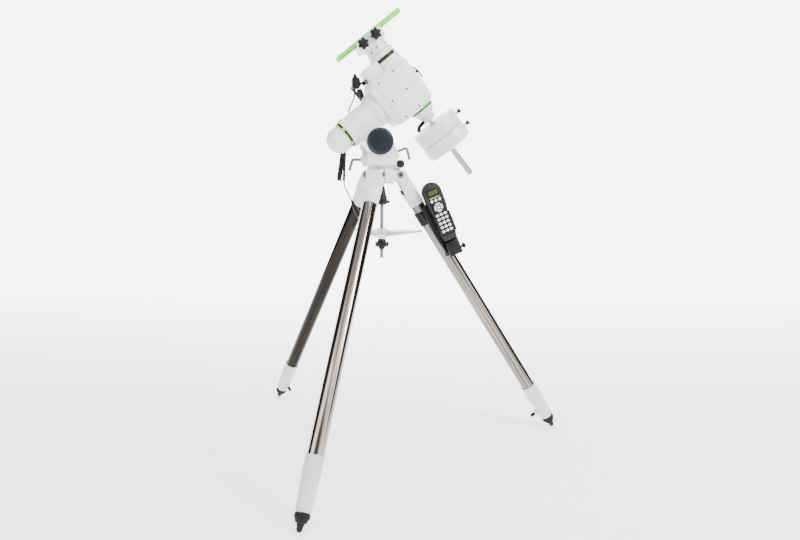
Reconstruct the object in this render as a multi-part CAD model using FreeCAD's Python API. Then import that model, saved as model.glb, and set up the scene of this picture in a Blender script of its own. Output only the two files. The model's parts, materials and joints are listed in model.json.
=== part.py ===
import FreeCAD, Part
import math
import os

# German equatorial mount on a folding steel tripod. Millimetres, +Z up.
# Origin: the tripod's axis at floor level. +X points at the leg under the counterweights,
# and the polar and declination axes lie in the XZ plane at rest.

Vector = FreeCAD.Vector
Rotation = FreeCAD.Rotation
Placement = FreeCAD.Placement
X_AXIS = Vector(1, 0, 0)
Y_AXIS = Vector(0, 1, 0)
Z_AXIS = Vector(0, 0, 1)

# Tripod
LEG_AZIMUTHS = [0, -120, 120]
LEG_ANGLE = 33.0
HINGE_RADIUS = 55.0
HINGE_Z = 865.0
LEG_TUBE_R = 22.225
LEG_TUBE_WALL = 1.65
TUBE_TOP = 109.0
TUBE_END = 880.0
CLAMP_TOP = 850.0
CLAMP_END = 985.0
INNER_R = 16.5
INNER_WALL = 1.5
INNER_TOP = 520.0
FOOT_TIP_R = 7.5
CLAMP_SCREW_T = 950.0
LUG_WIDTH = 26.0
LUG_R = 15.5
SOCKET_OUTSIDE = 19.5
CHEEK = 9.0
HINGE_BOLT_R = 4.0
HUB_BOTTOM = 838.0
HUB_TOP = 886.5
HUB_FLANGE_R = 46.0
HUB_SHOULDER_R = 50.0
CHEEK_R = 16.0
ROD_R = 6.0
ROD_END_Z = 604.0
SPREADER_Z = 690.0
SPREADER_TIP = 132.5

# Azimuth base and yoke
BASE_TOP = 930.0
BASE_R = 45.0
PEG_X = 48.0
PEG_R = 5.0
AZ_KNOB_Z = 898.0
PIVOT_X = -19.5
PIVOT_Z = 963.5
PIVOT_R = 8.0
YOKE_IN = 46.0
YOKE_OUT = 62.0
YOKE_TOP_R = 43.0
CAP_R = 40.5
LUG_DROP = 53.0
LUG_PIN_R = 10.0
LUG_NECK = 5.5
LAT_BOLT_R = 5.0
LAT_HANDLE_R = 4.0
LAT_HANDLE = 36.0
LAT_BOLT_LENGTHS = [96.0, 64.0]
LAT_BOSS_R = 9.0
LAT_BOSS_SPANS = [(17.0, 40.0), (13.0, 40.0)]

# Head: the two axes cross at HEAD, and head pieces are drawn along the polar axis (x),
# across it (y) and along the declination axis away from the weights (z).
LATITUDE = 40.0
HEAD = Vector(69.7, 0, 1139.9)
RA_TUBE_R = 44.0
RA_REAR = -237.0
RA_FRONT = -111.0
RA_SHAFT_R = 20.0
RA_LEVER_X = -129.0
DEC_SHAFT_R = 18.0
RUNNING = 0.06
DEC_TOP = 124.0
DEC_BOTTOM = -86.0
SADDLE_TOP = 178.0
SADDLE_R = 37.0
SADDLE_LOW_X = -49.0
SADDLE_HIGH_X = 41.0
SADDLE_KNOBS_X = [-35.5, 12.5]
SADDLE_KNOB_Z = 172.0
BAR_LENGTH = 244.0
BAR_WIDTH = 43.0
BAR_THICK = 15.0
BAR_SHIFT = 5.0
BAR_HOLE_R = 3.2
BAR_HOLE_INSET = 14.0
BAR_SLOT_R = 3.3
BAR_SLOT_INSET = 34.0
BAR_SLOT_LENGTH = 44.0
WHEEL_R = 31.0
WORM_R = 7.0
WORM_GAP = 0.3
WEIGHT_R = 76.0
WEIGHT_THICK = 46.0
WEIGHT_TOPS = [-145.5, -192.0]
WEIGHT_SCREW_GAP = 14.0
WEIGHT_ROD_R = 9.0
WEIGHT_ROD_END = -348.0

# Handset: its top edge, the way down its body, and its size
HANDSET_TOP = Vector(137, 0, 841)
HANDSET_RUN = Vector(0.395, 0, -0.919)
HANDSET_LENGTH = 196.0
HANDSET_WIDTH = 62.0
HANDSET_THICK = 26.0
HOLDER_BAND_T = 132.0
HANDSET_FACE = -58.0
WINDOW_HALF = 20.0
KEY_BED_HALF = 21.3
KEY_GAP = 0.3
KEY_TOP = -59.6

# Cables: the motor's in head coordinates, the power cord's in tripod coordinates
MOTOR_CORD = [(-132, -3, 87), (-141, -3, 76), (-152, 2, 66), (-166, 14, 59), (-179, 30, 52),
              (-187, 44, 39), (-188, 52, 20)]
MOTOR_CORD_R = 2.2
POWER_CORD = [(-30, 74, 916), (-40, 77, 934), (-50, 77, 955), (-60, 75, 976), (-76, 70, 990),
              (-95, 63, 983), (-106, 57, 962), (-109, 54, 938)]
POWER_TAIL = [(-113, 53, 846), (-111, 51, 832), (-106, 47, 817), (-98, 43, 801), (-91, 40, 785)]
POWER_CORD_R = 1.9
HANK_LOW = Vector(-121, 54, 846)
HANK_HIGH = Vector(-112, 57, 938)
HANK_HALF_WIDTH = 10.0
HANK_HALF_DEPTH = 12.0
HANK_EDGE = 5.0

HEAD_FRAME = Placement(HEAD, Rotation(Y_AXIS, -LATITUDE))


def cyl(radius, start, end):
    """Solid cylinder from one point to another."""
    run = end - start
    return Part.makeCylinder(radius, run.Length, start, run)


def cone(radius_start, radius_end, start, end):
    run = end - start
    return Part.makeCone(radius_start, radius_end, run.Length, start, run)


def tube(outer, inner, start, end):
    return cyl(outer, start, end).cut(cyl(inner, start, end))


def block(low, high):
    """Box between two opposite corners."""
    size = high - low
    return Part.makeBox(size.x, size.y, size.z, low)


def soft_block(low, high, radius):
    """Box with all twelve edges rounded."""
    solid = block(low, high)
    return solid.makeFillet(radius, solid.Edges)


def bevel_block(low, high, size):
    """Box with all twelve edges chamfered."""
    solid = block(low, high)
    return solid.makeChamfer(size, solid.Edges)


def lathe(profile):
    """Turn a closed outline of (radius, z) points about the z axis."""
    points = [Vector(r, 0, z) for r, z in profile]
    wire = Part.makePolygon(points + [points[0]])
    return Part.Face(wire).revolve(Vector(0, 0, 0), Z_AXIS, 360)


def slab(outline, thickness, y_start):
    """Extrude an outline of (x, z) points along +Y."""
    points = [Vector(x, y_start, z) for x, z in outline]
    face = Part.Face(Part.makePolygon(points + [points[0]]))
    return face.extrude(Vector(0, thickness, 0))


def placed(shape, placement):
    copy = shape.copy()
    copy.Placement = placement.multiply(copy.Placement)
    return copy


def frame_along(origin, direction):
    """Placement whose z axis points along a direction."""
    return Placement(origin, Rotation(Z_AXIS, direction))


def join(*shapes):
    solid = shapes[0]
    for other in shapes[1:]:
        solid = solid.fuse(other)
    return solid.removeSplitter()


def save(name, *solids):
    shape = solids[0] if len(solids) == 1 else Part.makeCompound(list(solids))
    shape.exportStep("parts/" + name + ".step")


def save_head(name, *solids):
    save(name, *[placed(solid, HEAD_FRAME) for solid in solids])


def leg_frame(azimuth):
    """Leg frame: origin on the hinge, x outward, y along the hinge, -z down the leg."""
    angle = math.radians(azimuth)
    hinge = Vector(HINGE_RADIUS * math.cos(angle), HINGE_RADIUS * math.sin(angle), HINGE_Z)
    turn = Rotation(Z_AXIS, azimuth).multiply(Rotation(Y_AXIS, -LEG_ANGLE))
    return Placement(hinge, turn)


def down(t, x=0.0, y=0.0):
    """Point t below the hinge in the leg frame."""
    return Vector(x, y, -t)


def star_knob(radius, thick, lobes, stem_r, stem):
    """Lobed hand knob on the z axis: stem below z = 0, lobed head above."""
    head = cyl(radius * 0.72, Vector(0, 0, 0), Vector(0, 0, thick))
    for index in range(lobes):
        angle = 2 * math.pi * index / lobes
        centre = Vector(radius * 0.68 * math.cos(angle), radius * 0.68 * math.sin(angle), 0)
        head = head.fuse(cyl(radius * 0.32, centre, centre + Vector(0, 0, thick)))
    head = head.fuse(cyl(radius * 0.45, Vector(0, 0, -4), Vector(0, 0, thick + 1.5)))
    return join(head, cyl(stem_r, Vector(0, 0, -stem), Vector(0, 0, 0)))


def wing_knob(width, height, thick, stem_r, stem):
    """Flat-winged thumb screw on the z axis: stem below z = 0, wing above."""
    half = Vector(width / 2, thick / 2, 0)
    wing = soft_block(half * -1, half + Vector(0, 0, height), thick * 0.4)
    collar = cyl(thick * 0.75, Vector(0, 0, -3), Vector(0, 0, height * 0.4))
    return join(wing, collar, cyl(stem_r, Vector(0, 0, -stem), Vector(0, 0, 0)))


# ---------------------------------------------------------------- tripod

def make_hub():
    shoulders = cyl(HUB_SHOULDER_R, Vector(0, 0, HUB_BOTTOM + 6), Vector(0, 0, HUB_TOP - 6))
    for azimuth in LEG_AZIMUTHS:
        room = block(Vector(20, -24, HUB_BOTTOM), Vector(80, 24, HUB_TOP))
        shoulders = shoulders.cut(placed(room, Placement(Vector(), Rotation(Z_AXIS, azimuth))))
    body = join(shoulders, cyl(36, Vector(0, 0, HUB_BOTTOM), Vector(0, 0, HUB_TOP)),
                cyl(HUB_FLANGE_R, Vector(0, 0, HUB_TOP - 6), Vector(0, 0, HUB_TOP)))
    for azimuth in LEG_AZIMUTHS:
        lug = join(block(Vector(20, -LUG_WIDTH / 2, HUB_BOTTOM + 10),
                         Vector(HINGE_RADIUS, LUG_WIDTH / 2, HUB_TOP - 6)),
                   cyl(LUG_R, Vector(HINGE_RADIUS, -LUG_WIDTH / 2, HINGE_Z),
                       Vector(HINGE_RADIUS, LUG_WIDTH / 2, HINGE_Z)))
        body = body.fuse(placed(lug, Placement(Vector(), Rotation(Z_AXIS, azimuth))))
    peg = cyl(PEG_R, Vector(PEG_X, 0, HUB_TOP - 12), Vector(PEG_X, 0, AZ_KNOB_Z + 7))
    boss = cyl(11, Vector(PEG_X, 0, HUB_TOP - 6), Vector(PEG_X, 0, HUB_TOP))
    body = join(body, boss, peg)
    body = body.cut(cyl(ROD_R + 0.4, Vector(0, 0, HUB_BOTTOM - 1), Vector(0, 0, HUB_TOP + 1)))
    for azimuth in LEG_AZIMUTHS:
        hole = cyl(HINGE_BOLT_R + RUNNING, Vector(HINGE_RADIUS, -30, HINGE_Z),
                   Vector(HINGE_RADIUS, 30, HINGE_Z))
        body = body.cut(placed(hole, Placement(Vector(), Rotation(Z_AXIS, azimuth))))
    save("hub", body)


def make_hinge_bolts():
    bolts = []
    reach = LUG_WIDTH / 2 + 0.3 + CHEEK
    for azimuth in LEG_AZIMUTHS:
        bolt = join(cyl(HINGE_BOLT_R, Vector(0, -reach - 6, 0), Vector(0, reach + 6, 0)),
                    cyl(7.5, Vector(0, -reach - 6, 0), Vector(0, -reach - 0.3, 0)),
                    cyl(7.0, Vector(0, reach + 0.3, 0), Vector(0, reach + 6, 0)))
        angle = math.radians(azimuth)
        hinge = Vector(HINGE_RADIUS * math.cos(angle), HINGE_RADIUS * math.sin(angle), HINGE_Z)
        bolts.append(placed(bolt, Placement(hinge, Rotation(Z_AXIS, azimuth))))
    save("hinge_bolts", *bolts)


def make_leg_socket(number, frame):
    inner = LUG_WIDTH / 2 + 0.3
    outer = inner + CHEEK
    cheeks = []
    for side in (-1, 1):
        low = min(side * inner, side * outer)
        cheek = join(cyl(CHEEK_R, Vector(0, low, 0), Vector(0, low + CHEEK, 0)),
                     block(Vector(-CHEEK_R, low, -62), Vector(CHEEK_R, low + CHEEK, 0)))
        cheeks.append(cheek)
    web = join(block(Vector(-19, -outer, -84), Vector(19, outer, -42)),
               cone(25.5, 23.6, down(62), down(TUBE_TOP)),
               cyl(LEG_TUBE_R - LEG_TUBE_WALL - 0.02, down(TUBE_TOP), down(TUBE_TOP + 42)))
    barrel = cyl(25.5, down(0), down(84))
    crown = cyl(SOCKET_OUTSIDE, Vector(0, -outer, 0), Vector(0, outer, 0))
    crown = crown.common(block(Vector(0, -outer, 0), Vector(30, outer, 5)))
    front = join(block(Vector(0, -outer, -62), Vector(SOCKET_OUTSIDE, outer, 0)), crown)
    front = front.cut(cyl(LUG_R + 0.6, Vector(0, -inner, 0), Vector(0, inner, 0)))
    front = front.cut(block(Vector(-30, -inner, -42), Vector(LUG_R + 0.6, inner, 0)))
    front = front.cut(block(Vector(-30, -inner, 0), Vector(0, inner, 30)))
    socket = join(cheeks[0], cheeks[1], web, front).common(join(barrel, cyl(30, down(-30), down(60)),
                                                       cyl(26, down(60), down(160))))
    socket = socket.cut(cyl(HINGE_BOLT_R + RUNNING, Vector(0, -40, 0), Vector(0, 40, 0)))
    save("leg_socket_" + number, placed(socket, frame))


def make_leg_tube(number, frame):
    steel = tube(LEG_TUBE_R, LEG_TUBE_R - LEG_TUBE_WALL, down(TUBE_TOP), down(TUBE_END))
    save("leg_tube_" + number, placed(steel, frame))


def make_leg_clamp(number, frame):
    outline = [(0, -CLAMP_END), (18.5, -CLAMP_END), (20.5, -CLAMP_END + 5), (22.3, -CLAMP_END + 45),
               (24.6, -CLAMP_END + 88), (25.2, -CLAMP_END + 112), (24.6, -CLAMP_TOP), (0, -CLAMP_TOP)]
    body = lathe(outline)
    boss = cyl(9.5, down(CLAMP_SCREW_T, -12), down(CLAMP_SCREW_T, -33))
    body = join(body, boss)
    body = body.cut(cyl(LEG_TUBE_R, down(CLAMP_TOP - 1), down(TUBE_END)))
    body = body.cut(cyl(INNER_R + RUNNING, down(CLAMP_TOP - 1), down(CLAMP_END + 1)))
    body = body.cut(cyl(4 + RUNNING, down(CLAMP_SCREW_T, -10), down(CLAMP_SCREW_T, -40)))
    save("leg_clamp_" + number, placed(body, frame))


def make_leg_foot(number, frame):
    steel = tube(INNER_R, INNER_R - INNER_WALL, down(INNER_TOP), down(CLAMP_END))
    tip_t = (HINGE_Z - FOOT_TIP_R) / math.cos(math.radians(LEG_ANGLE))
    foot = join(cyl(20, down(CLAMP_END + 0.3), down(CLAMP_END + 14)),
                cone(17.5, FOOT_TIP_R, down(CLAMP_END + 14), down(tip_t)),
                Part.makeSphere(FOOT_TIP_R, down(tip_t)),
                cyl(INNER_R - INNER_WALL, down(CLAMP_END - 30), down(CLAMP_END + 2)))
    steel = join(steel, cyl(INNER_R, down(CLAMP_END), down(CLAMP_END + 0.3)))
    save("leg_foot_" + number, placed(join(steel, foot), frame))


def make_clamp_screw(number, frame):
    screw = wing_knob(22, 15, 7, 4.0, 19)
    screw.Placement = frame_along(down(CLAMP_SCREW_T, -36), Vector(-1, 0, 0))
    save("clamp_screw_" + number, placed(screw, frame))


def make_mount_screw():
    rod = cyl(ROD_R, Vector(0, 0, ROD_END_Z), Vector(0, 0, HUB_TOP + 13))
    knob = join(cone(14, 17, Vector(0, 0, 772), Vector(0, 0, 790)),
                cone(17, 8, Vector(0, 0, 790), Vector(0, 0, 830)))
    for index in range(3):
        angle = 2 * math.pi * index / 3
        arm = Vector(26 * math.cos(angle), 26 * math.sin(angle), 781)
        knob = knob.fuse(cyl(5.5, Vector(0, 0, 781), arm))
    save("mount_screw", join(rod, knob))


def make_spreader():
    """Three flat arms on a hub, clear of the leg tubes by a few millimetres."""
    plate = join(cyl(30, Vector(0, 0, SPREADER_Z - 4), Vector(0, 0, SPREADER_Z + 2)),
                 cyl(15, Vector(0, 0, SPREADER_Z - 26), Vector(0, 0, SPREADER_Z + 8)))
    tip = SPREADER_TIP - 8
    for azimuth in LEG_AZIMUTHS:
        outline = [(0, -17), (tip - 25, -12), (tip, -8), (tip, 8), (tip - 25, 12), (0, 17)]
        points = [Vector(x, y, SPREADER_Z - 3) for x, y in outline]
        arm = Part.Face(Part.makePolygon(points + [points[0]])).extrude(Vector(0, 0, 4))
        arm = arm.fuse(cyl(8, Vector(tip, 0, SPREADER_Z - 3), Vector(tip, 0, SPREADER_Z + 1)))
        rib = slab([(10, SPREADER_Z - 20), (10, SPREADER_Z - 2), (tip - 6, SPREADER_Z - 2),
                    (tip - 6, SPREADER_Z - 6)], 3, -1.5)
        window = soft_block(Vector(48, -6, SPREADER_Z - 8), Vector(92, 6, SPREADER_Z + 5), 1.0)
        arm = arm.cut(window).fuse(rib)
        plate = plate.fuse(placed(arm, Placement(Vector(), Rotation(Z_AXIS, azimuth))))
    plate = plate.cut(cyl(ROD_R + 0.5, Vector(0, 0, SPREADER_Z - 30), Vector(0, 0, SPREADER_Z + 20)))
    save("spreader", plate.removeSplitter())


def make_spreader_knob():
    knob = star_knob(23, 14, 5, 10, 8)
    knob.Placement = Placement(Vector(0, 0, 640), Rotation())
    hole = cyl(ROD_R + 0.08, Vector(0, 0, 600), Vector(0, 0, 700))
    collar = cone(15, 11, Vector(0, 0, 654), Vector(0, 0, SPREADER_Z - 26.4))
    save("spreader_knob", join(knob, collar).cut(hole))


# ---------------------------------------------------------------- azimuth base and yoke

def yoke_wall(y_start):
    """One side wall: straight sides up to a round top about the pivot."""
    thick = YOKE_OUT - YOKE_IN
    outline = [(-46, BASE_TOP - 14), (46, BASE_TOP - 14), (34, BASE_TOP + 12),
               (PIVOT_X + YOKE_TOP_R, PIVOT_Z), (PIVOT_X - YOKE_TOP_R, PIVOT_Z), (-52, BASE_TOP + 8)]
    foot = slab(outline, thick, y_start)
    top = cyl(YOKE_TOP_R, Vector(PIVOT_X, y_start, PIVOT_Z), Vector(PIVOT_X, y_start + thick, PIVOT_Z))
    skirt = block(Vector(-54, y_start, HUB_TOP + 7), Vector(33, y_start + thick, BASE_TOP + 8))
    return join(foot, top, skirt)


def lat_bolt_axes():
    """Inner contact point and outward direction of the front and rear latitude bolts."""
    pin = Vector(PIVOT_X, 0, PIVOT_Z - LUG_DROP)
    front = Vector(math.cos(math.radians(22)), 0, math.sin(math.radians(22)))
    rear = Vector(-1, 0, 0.0)
    return [(pin + front * (LUG_PIN_R + 0.3), front), (pin + rear * (LUG_PIN_R + 0.3), rear)]


def make_az_base():
    plinth = join(lathe([(0, HUB_TOP + 0.3), (BASE_R, HUB_TOP + 0.3), (BASE_R + 1.5, HUB_TOP + 4),
                         (BASE_R + 1.5, BASE_TOP - 6), (BASE_R - 2, BASE_TOP), (0, BASE_TOP)]),
                  block(Vector(-46, -YOKE_OUT, BASE_TOP - 16), Vector(40, YOKE_OUT, BASE_TOP)),
                  block(Vector(30, -24, HUB_TOP + 0.3), Vector(63, 24, BASE_TOP - 18)))
    body = join(plinth, yoke_wall(-YOKE_OUT), yoke_wall(YOKE_IN))
    cavity = join(block(Vector(-46.5, -YOKE_IN, HUB_TOP + 13), Vector(22, YOKE_IN, PIVOT_Z + 60)),
                  block(Vector(-60, -YOKE_IN, BASE_TOP + 4), Vector(60, YOKE_IN, PIVOT_Z + 60)))
    ends = join(block(Vector(-46.5, -24, HUB_TOP + 6), Vector(-38, 24, BASE_TOP - 6)),
                block(Vector(21, -24, HUB_TOP + 6), Vector(40, 24, BASE_TOP - 2)))
    body = join(body.cut(cavity), ends)
    for (contact, direction), (near, far) in zip(lat_bolt_axes(), LAT_BOSS_SPANS):
        body = body.fuse(cyl(LAT_BOSS_R, contact + direction * near, contact + direction * far))
    for contact, direction in lat_bolt_axes():
        body = body.cut(cyl(LAT_BOLT_R + RUNNING, contact, contact + direction * 60))
    body = body.cut(cyl(ROD_R + 0.05, Vector(0, 0, HUB_TOP - 2), Vector(0, 0, HUB_TOP + 20)))
    slot = block(Vector(PEG_X - 7, -16, HUB_TOP), Vector(PEG_X + 7, 16, AZ_KNOB_Z + 9))
    body = body.cut(slot)
    body = body.cut(cyl(4 + RUNNING, Vector(PEG_X, -40, AZ_KNOB_Z), Vector(PEG_X, 40, AZ_KNOB_Z)))
    body = body.cut(cyl(PIVOT_R, Vector(PIVOT_X, -80, PIVOT_Z), Vector(PIVOT_X, 80, PIVOT_Z)))
    save("az_base", body.removeSplitter())


def make_az_knobs():
    for name, side in (("az_knob_near", -1), ("az_knob_far", 1)):
        knob = join(cyl(12.5, Vector(0, 0, 0), Vector(0, 0, 13)),
                    cyl(8, Vector(0, 0, -6), Vector(0, 0, 0)),
                    cyl(4, Vector(0, 0, -36.7), Vector(0, 0, 0)))
        for index in range(8):
            angle = 2 * math.pi * index / 8
            rib = Vector(12.3 * math.cos(angle), 12.3 * math.sin(angle), 0)
            knob = knob.fuse(cyl(1.6, rib, rib + Vector(0, 0, 13)))
        tip = PEG_R + 0.3
        knob.Placement = frame_along(Vector(PEG_X, side * (tip + 36.7), AZ_KNOB_Z), Vector(0, side, 0))
        save(name, knob)


def make_pivot():
    pin = join(cyl(PIVOT_R, Vector(PIVOT_X, -YOKE_OUT - 2, PIVOT_Z),
                   Vector(PIVOT_X, YOKE_OUT + 2, PIVOT_Z)),
               cyl(14, Vector(PIVOT_X, YOKE_OUT, PIVOT_Z), Vector(PIVOT_X, YOKE_OUT + 9, PIVOT_Z)))
    save("pivot_pin", pin)
    cap = lathe([(0, 2), (14, 2), (14, 0), (CAP_R, 0), (CAP_R, 11), (CAP_R - 3, 15), (0, 17)])
    cap.Placement = frame_along(Vector(PIVOT_X, -YOKE_OUT, PIVOT_Z), Vector(0, -1, 0))
    save("pivot_cap", cap)


def make_lat_bolts():
    names = ["lat_bolt_front", "lat_bolt_rear"]
    for name, (contact, direction), length in zip(names, lat_bolt_axes(), LAT_BOLT_LENGTHS):
        bend = contact + direction * length
        neck = contact + direction * (length - 12)
        drop = Vector(0.28 * direction.x, 0, -1).normalize()
        handle_end = bend + drop * LAT_HANDLE
        bolt = join(cyl(LAT_BOLT_R, contact, neck), cyl(LAT_HANDLE_R, neck, bend),
                    Part.makeSphere(LAT_HANDLE_R, bend), cyl(LAT_HANDLE_R, bend, handle_end),
                    Part.makeSphere(LAT_HANDLE_R, handle_end))
        save(name, bolt)


# ---------------------------------------------------------------- polar (RA) axis

def make_ra_housing():
    shell = join(cyl(RA_TUBE_R, Vector(RA_REAR, 0, 0), Vector(RA_FRONT, 0, 0)),
                 cyl(48, Vector(RA_REAR, 0, 0), Vector(RA_REAR + 11, 0, 0)),
                 cone(48, RA_TUBE_R, Vector(RA_REAR + 11, 0, 0), Vector(RA_REAR + 19, 0, 0)),
                 cone(RA_TUBE_R, 54, Vector(RA_FRONT - 32, 0, 0), Vector(RA_FRONT - 16, 0, 0)),
                 cyl(54, Vector(RA_FRONT - 16, 0, 0), Vector(RA_FRONT, 0, 0)))
    pivot = HEAD_FRAME.inverse().multVec(Vector(PIVOT_X, 0, PIVOT_Z))
    wall = YOKE_IN - 0.6
    belly = join(cyl(34, Vector(pivot.x, -wall, pivot.z), Vector(pivot.x, wall, pivot.z)),
                 block(Vector(pivot.x - 34, -wall + 8, pivot.z), Vector(pivot.x + 34, wall - 8, 0)))
    shell = join(shell, belly)
    pin = HEAD_FRAME.inverse().multVec(Vector(PIVOT_X, 0, PIVOT_Z - LUG_DROP))
    run = pin - pivot
    lug = cyl(LUG_PIN_R, Vector(pin.x, -16, pin.z), Vector(pin.x, 16, pin.z))
    neck = Part.makeBox(2 * LUG_NECK, 32, run.Length, Vector(-LUG_NECK, -16, 0))
    neck.Placement = Placement(pivot, Rotation(Z_AXIS, run))
    shell = join(shell, lug, neck)
    bore = cyl(RA_SHAFT_R + RUNNING, Vector(RA_REAR + 4, 0, 0), Vector(RA_FRONT + 1, 0, 0))
    wheel_room = cyl(WHEEL_R + 1.5, Vector(-193, 0, 0), Vector(-171, 0, 0))
    worm_z = -(WHEEL_R + WORM_R + WORM_GAP)
    worm_room = cyl(WORM_R + 1.5, Vector(-182, -34, worm_z), Vector(-182, 34, worm_z))
    worm_slot = block(Vector(-190, -34, worm_z), Vector(-174, 34, -10))
    shell = shell.cut(bore).cut(wheel_room).cut(worm_room).cut(worm_slot)
    shell = shell.cut(cyl(PIVOT_R + RUNNING, Vector(pivot.x, -60, pivot.z),
                          Vector(pivot.x, 60, pivot.z)))
    shell = shell.cut(cyl(5 + RUNNING, Vector(RA_LEVER_X, 0, 22), Vector(RA_LEVER_X, 0, 60)))
    save_head("ra_housing", shell.removeSplitter())


def make_ra_pieces():
    circle = tube(42.5, 30, Vector(RA_REAR - 9.5, 0, 0), Vector(RA_REAR - 0.3, 0, 0))
    save_head("ra_circle", circle)
    cap_face = RA_REAR - 9.8
    shell = cyl(40, Vector(cap_face - 20, 0, 0), Vector(cap_face, 0, 0))
    shell = shell.fuse(Part.makeSphere(40, Vector(cap_face - 20, 0, 0)))
    shell = shell.common(block(Vector(cap_face - 70, -60, -60), Vector(cap_face, 60, 60)))
    spigot = cyl(29.9, Vector(cap_face - 2, 0, 0), Vector(RA_REAR - 1, 0, 0))
    hollow = join(cyl(27, Vector(cap_face - 20, 0, 0), Vector(RA_REAR, 0, 0)),
                  Part.makeSphere(27, Vector(cap_face - 20, 0, 0)))
    save_head("polar_cap", join(shell, spigot).cut(hollow))
    shaft = join(cyl(RA_SHAFT_R, Vector(RA_REAR + 6, 0, 0), Vector(RA_FRONT + 0.2, 0, 0)),
                 cyl(WHEEL_R, Vector(-191, 0, 0), Vector(-173, 0, 0)))
    shaft = shaft.cut(cyl(12, Vector(RA_REAR, 0, 0), Vector(RA_FRONT + 30, 0, 0)))
    save_head("ra_axis", shaft)
    worm_z = -(WHEEL_R + WORM_R + WORM_GAP)
    save_head("ra_worm", cyl(WORM_R, Vector(-182, -30, worm_z), Vector(-182, 30, worm_z)))
    foot = Vector(RA_LEVER_X, 0, 56)
    top = Vector(RA_LEVER_X + 9, 0, 78)
    crown = Part.makeSphere(9, top).common(block(Vector(-150, -20, 78), Vector(-90, 20, 84)))
    save_head("ra_lever", join(cyl(5, Vector(RA_LEVER_X, 0, 30), foot), cone(5.5, 9, foot, top), crown))


# ---------------------------------------------------------------- declination (Dec) axis

def dec_bore():
    shaft_room = cyl(DEC_SHAFT_R + RUNNING, Vector(0, 0, DEC_BOTTOM - 1), Vector(0, 0, DEC_TOP + 1))
    return join(shaft_room, cyl(WHEEL_R + 1.5, Vector(0, 0, 68), Vector(0, 0, 90)))


def worm_x():
    return -(WHEEL_R + WORM_R + WORM_GAP)


def make_dec_housing():
    barrel = lathe([(0, DEC_BOTTOM), (36, DEC_BOTTOM), (44, -72), (49, -50), (52, -10), (52, 30),
                    (48, 70), (44.5, 98), (43, DEC_TOP), (0, DEC_TOP)])
    disc = cyl(75, Vector(RA_FRONT + 0.6, 0, 0), Vector(-46, 0, 0))
    disc = disc.makeFillet(13, [disc.Edges[0], disc.Edges[2]])
    slice_box = block(Vector(-130, -57, -90), Vector(20, 57, 90))
    flank = soft_block(Vector(-104, -57, DEC_BOTTOM + 3), Vector(44, 57, 74), 22)
    body = join(barrel, disc.common(slice_box), flank)
    for y_start, y_end in ((-60, -50), (50, 60)):
        plate = soft_block(Vector(-86, y_start, -83), Vector(-8, y_end, 67), 2.4)
        body = body.fuse(plate)
    body = body.cut(dec_bore())
    window = block(Vector(-30, -60, 96.5), Vector(30, -18, 107.5))
    ring_room = tube(42.2, 36.8, Vector(0, 0, 96.5), Vector(0, 0, 107.5))
    body = body.cut(ring_room).cut(window.common(tube(80, 40, Vector(0, 0, 96), Vector(0, 0, 108))))
    body = body.cut(block(Vector(-90, -39, 59.4), Vector(-31, 39, 100)))
    body = body.cut(cyl(WORM_R + 1.5, Vector(worm_x(), -34, 79), Vector(worm_x(), 34, 79)))
    body = body.cut(cyl(RA_SHAFT_R + 0.02, Vector(RA_FRONT - 1, 0, 0), Vector(RA_FRONT + 24, 0, 0)))
    body = body.cut(cyl(4 + RUNNING, Vector(30, 0, 10), Vector(70, 0, 10)))
    save_head("dec_housing", body.removeSplitter())


def make_dec_cover():
    """Gear cover boxed onto the side of the Dec housing."""
    cover = soft_block(Vector(-85, -38.5, 59.7), Vector(-31.5, 38.5, 113), 5)
    cover = cover.cut(cyl(46.4, Vector(0, 0, 50), Vector(0, 0, 94)))
    cover = cover.cut(cyl(45.2, Vector(0, 0, 50), Vector(0, 0, 120)))
    cover = cover.cut(cyl(WORM_R + 1.5, Vector(worm_x(), -34, 79), Vector(worm_x(), 34, 79)))
    cover = cover.cut(dec_housing_barrel())
    plug_lead = cyl(5, Vector(-84, 0, 84), Vector(-103, 0, 84))
    nut = cyl(7.5, Vector(-84, 0, 84), Vector(-91, 0, 84))
    save_head("dec_cover", join(cover, nut, plug_lead))


def dec_housing_barrel():
    """Outside of the Dec barrel over the height of the gear cover, with a hair of clearance."""
    return lathe([(0, 50), (52.2, 50), (48.2, 70.2), (44.7, 98.2), (44.2, 120), (0, 120)])


def make_dec_pieces():
    save_head("dec_circle", tube(42, 37, Vector(0, 0, 97), Vector(0, 0, 107)))
    axis = join(cyl(DEC_SHAFT_R, Vector(0, 0, DEC_BOTTOM), Vector(0, 0, DEC_TOP + 0.5)),
                cyl(WHEEL_R, Vector(0, 0, 70), Vector(0, 0, 88)))
    axis = axis.cut(cyl(WEIGHT_ROD_R, Vector(0, 0, DEC_BOTTOM - 1), Vector(0, 0, -40)))
    save_head("dec_axis", axis)
    save_head("dec_worm", cyl(WORM_R, Vector(worm_x(), -30, 79), Vector(worm_x(), 30, 79)))
    arm = tube(65.5, 62, Vector(0, -4, 0), Vector(0, 4, 0))
    arm = arm.common(block(Vector(40, -10, -14), Vector(80, 10, 30)))
    lever = join(arm, cyl(4, Vector(40, 0, 10), Vector(63, 0, 10)),
                 cyl(7, Vector(54, 0, 10), Vector(62, 0, 10)))
    save_head("dec_lever", lever)


def bar_profile(inset):
    """Dovetail section, wide side down on the saddle, as (y, z) points."""
    wide = BAR_WIDTH / 2 + inset
    narrow = wide - 5.5
    low = SADDLE_TOP - inset
    top = low + BAR_THICK
    return [(-wide, low), (wide, low), (wide, low + 3), (narrow, top), (-narrow, top), (-wide, low + 3)]


def bar_solid(x_start, x_end, inset):
    points = [Vector(x_start, y, z) for y, z in bar_profile(inset)]
    face = Part.Face(Part.makePolygon(points + [points[0]]))
    return face.extrude(Vector(x_end - x_start, 0, 0))


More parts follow.
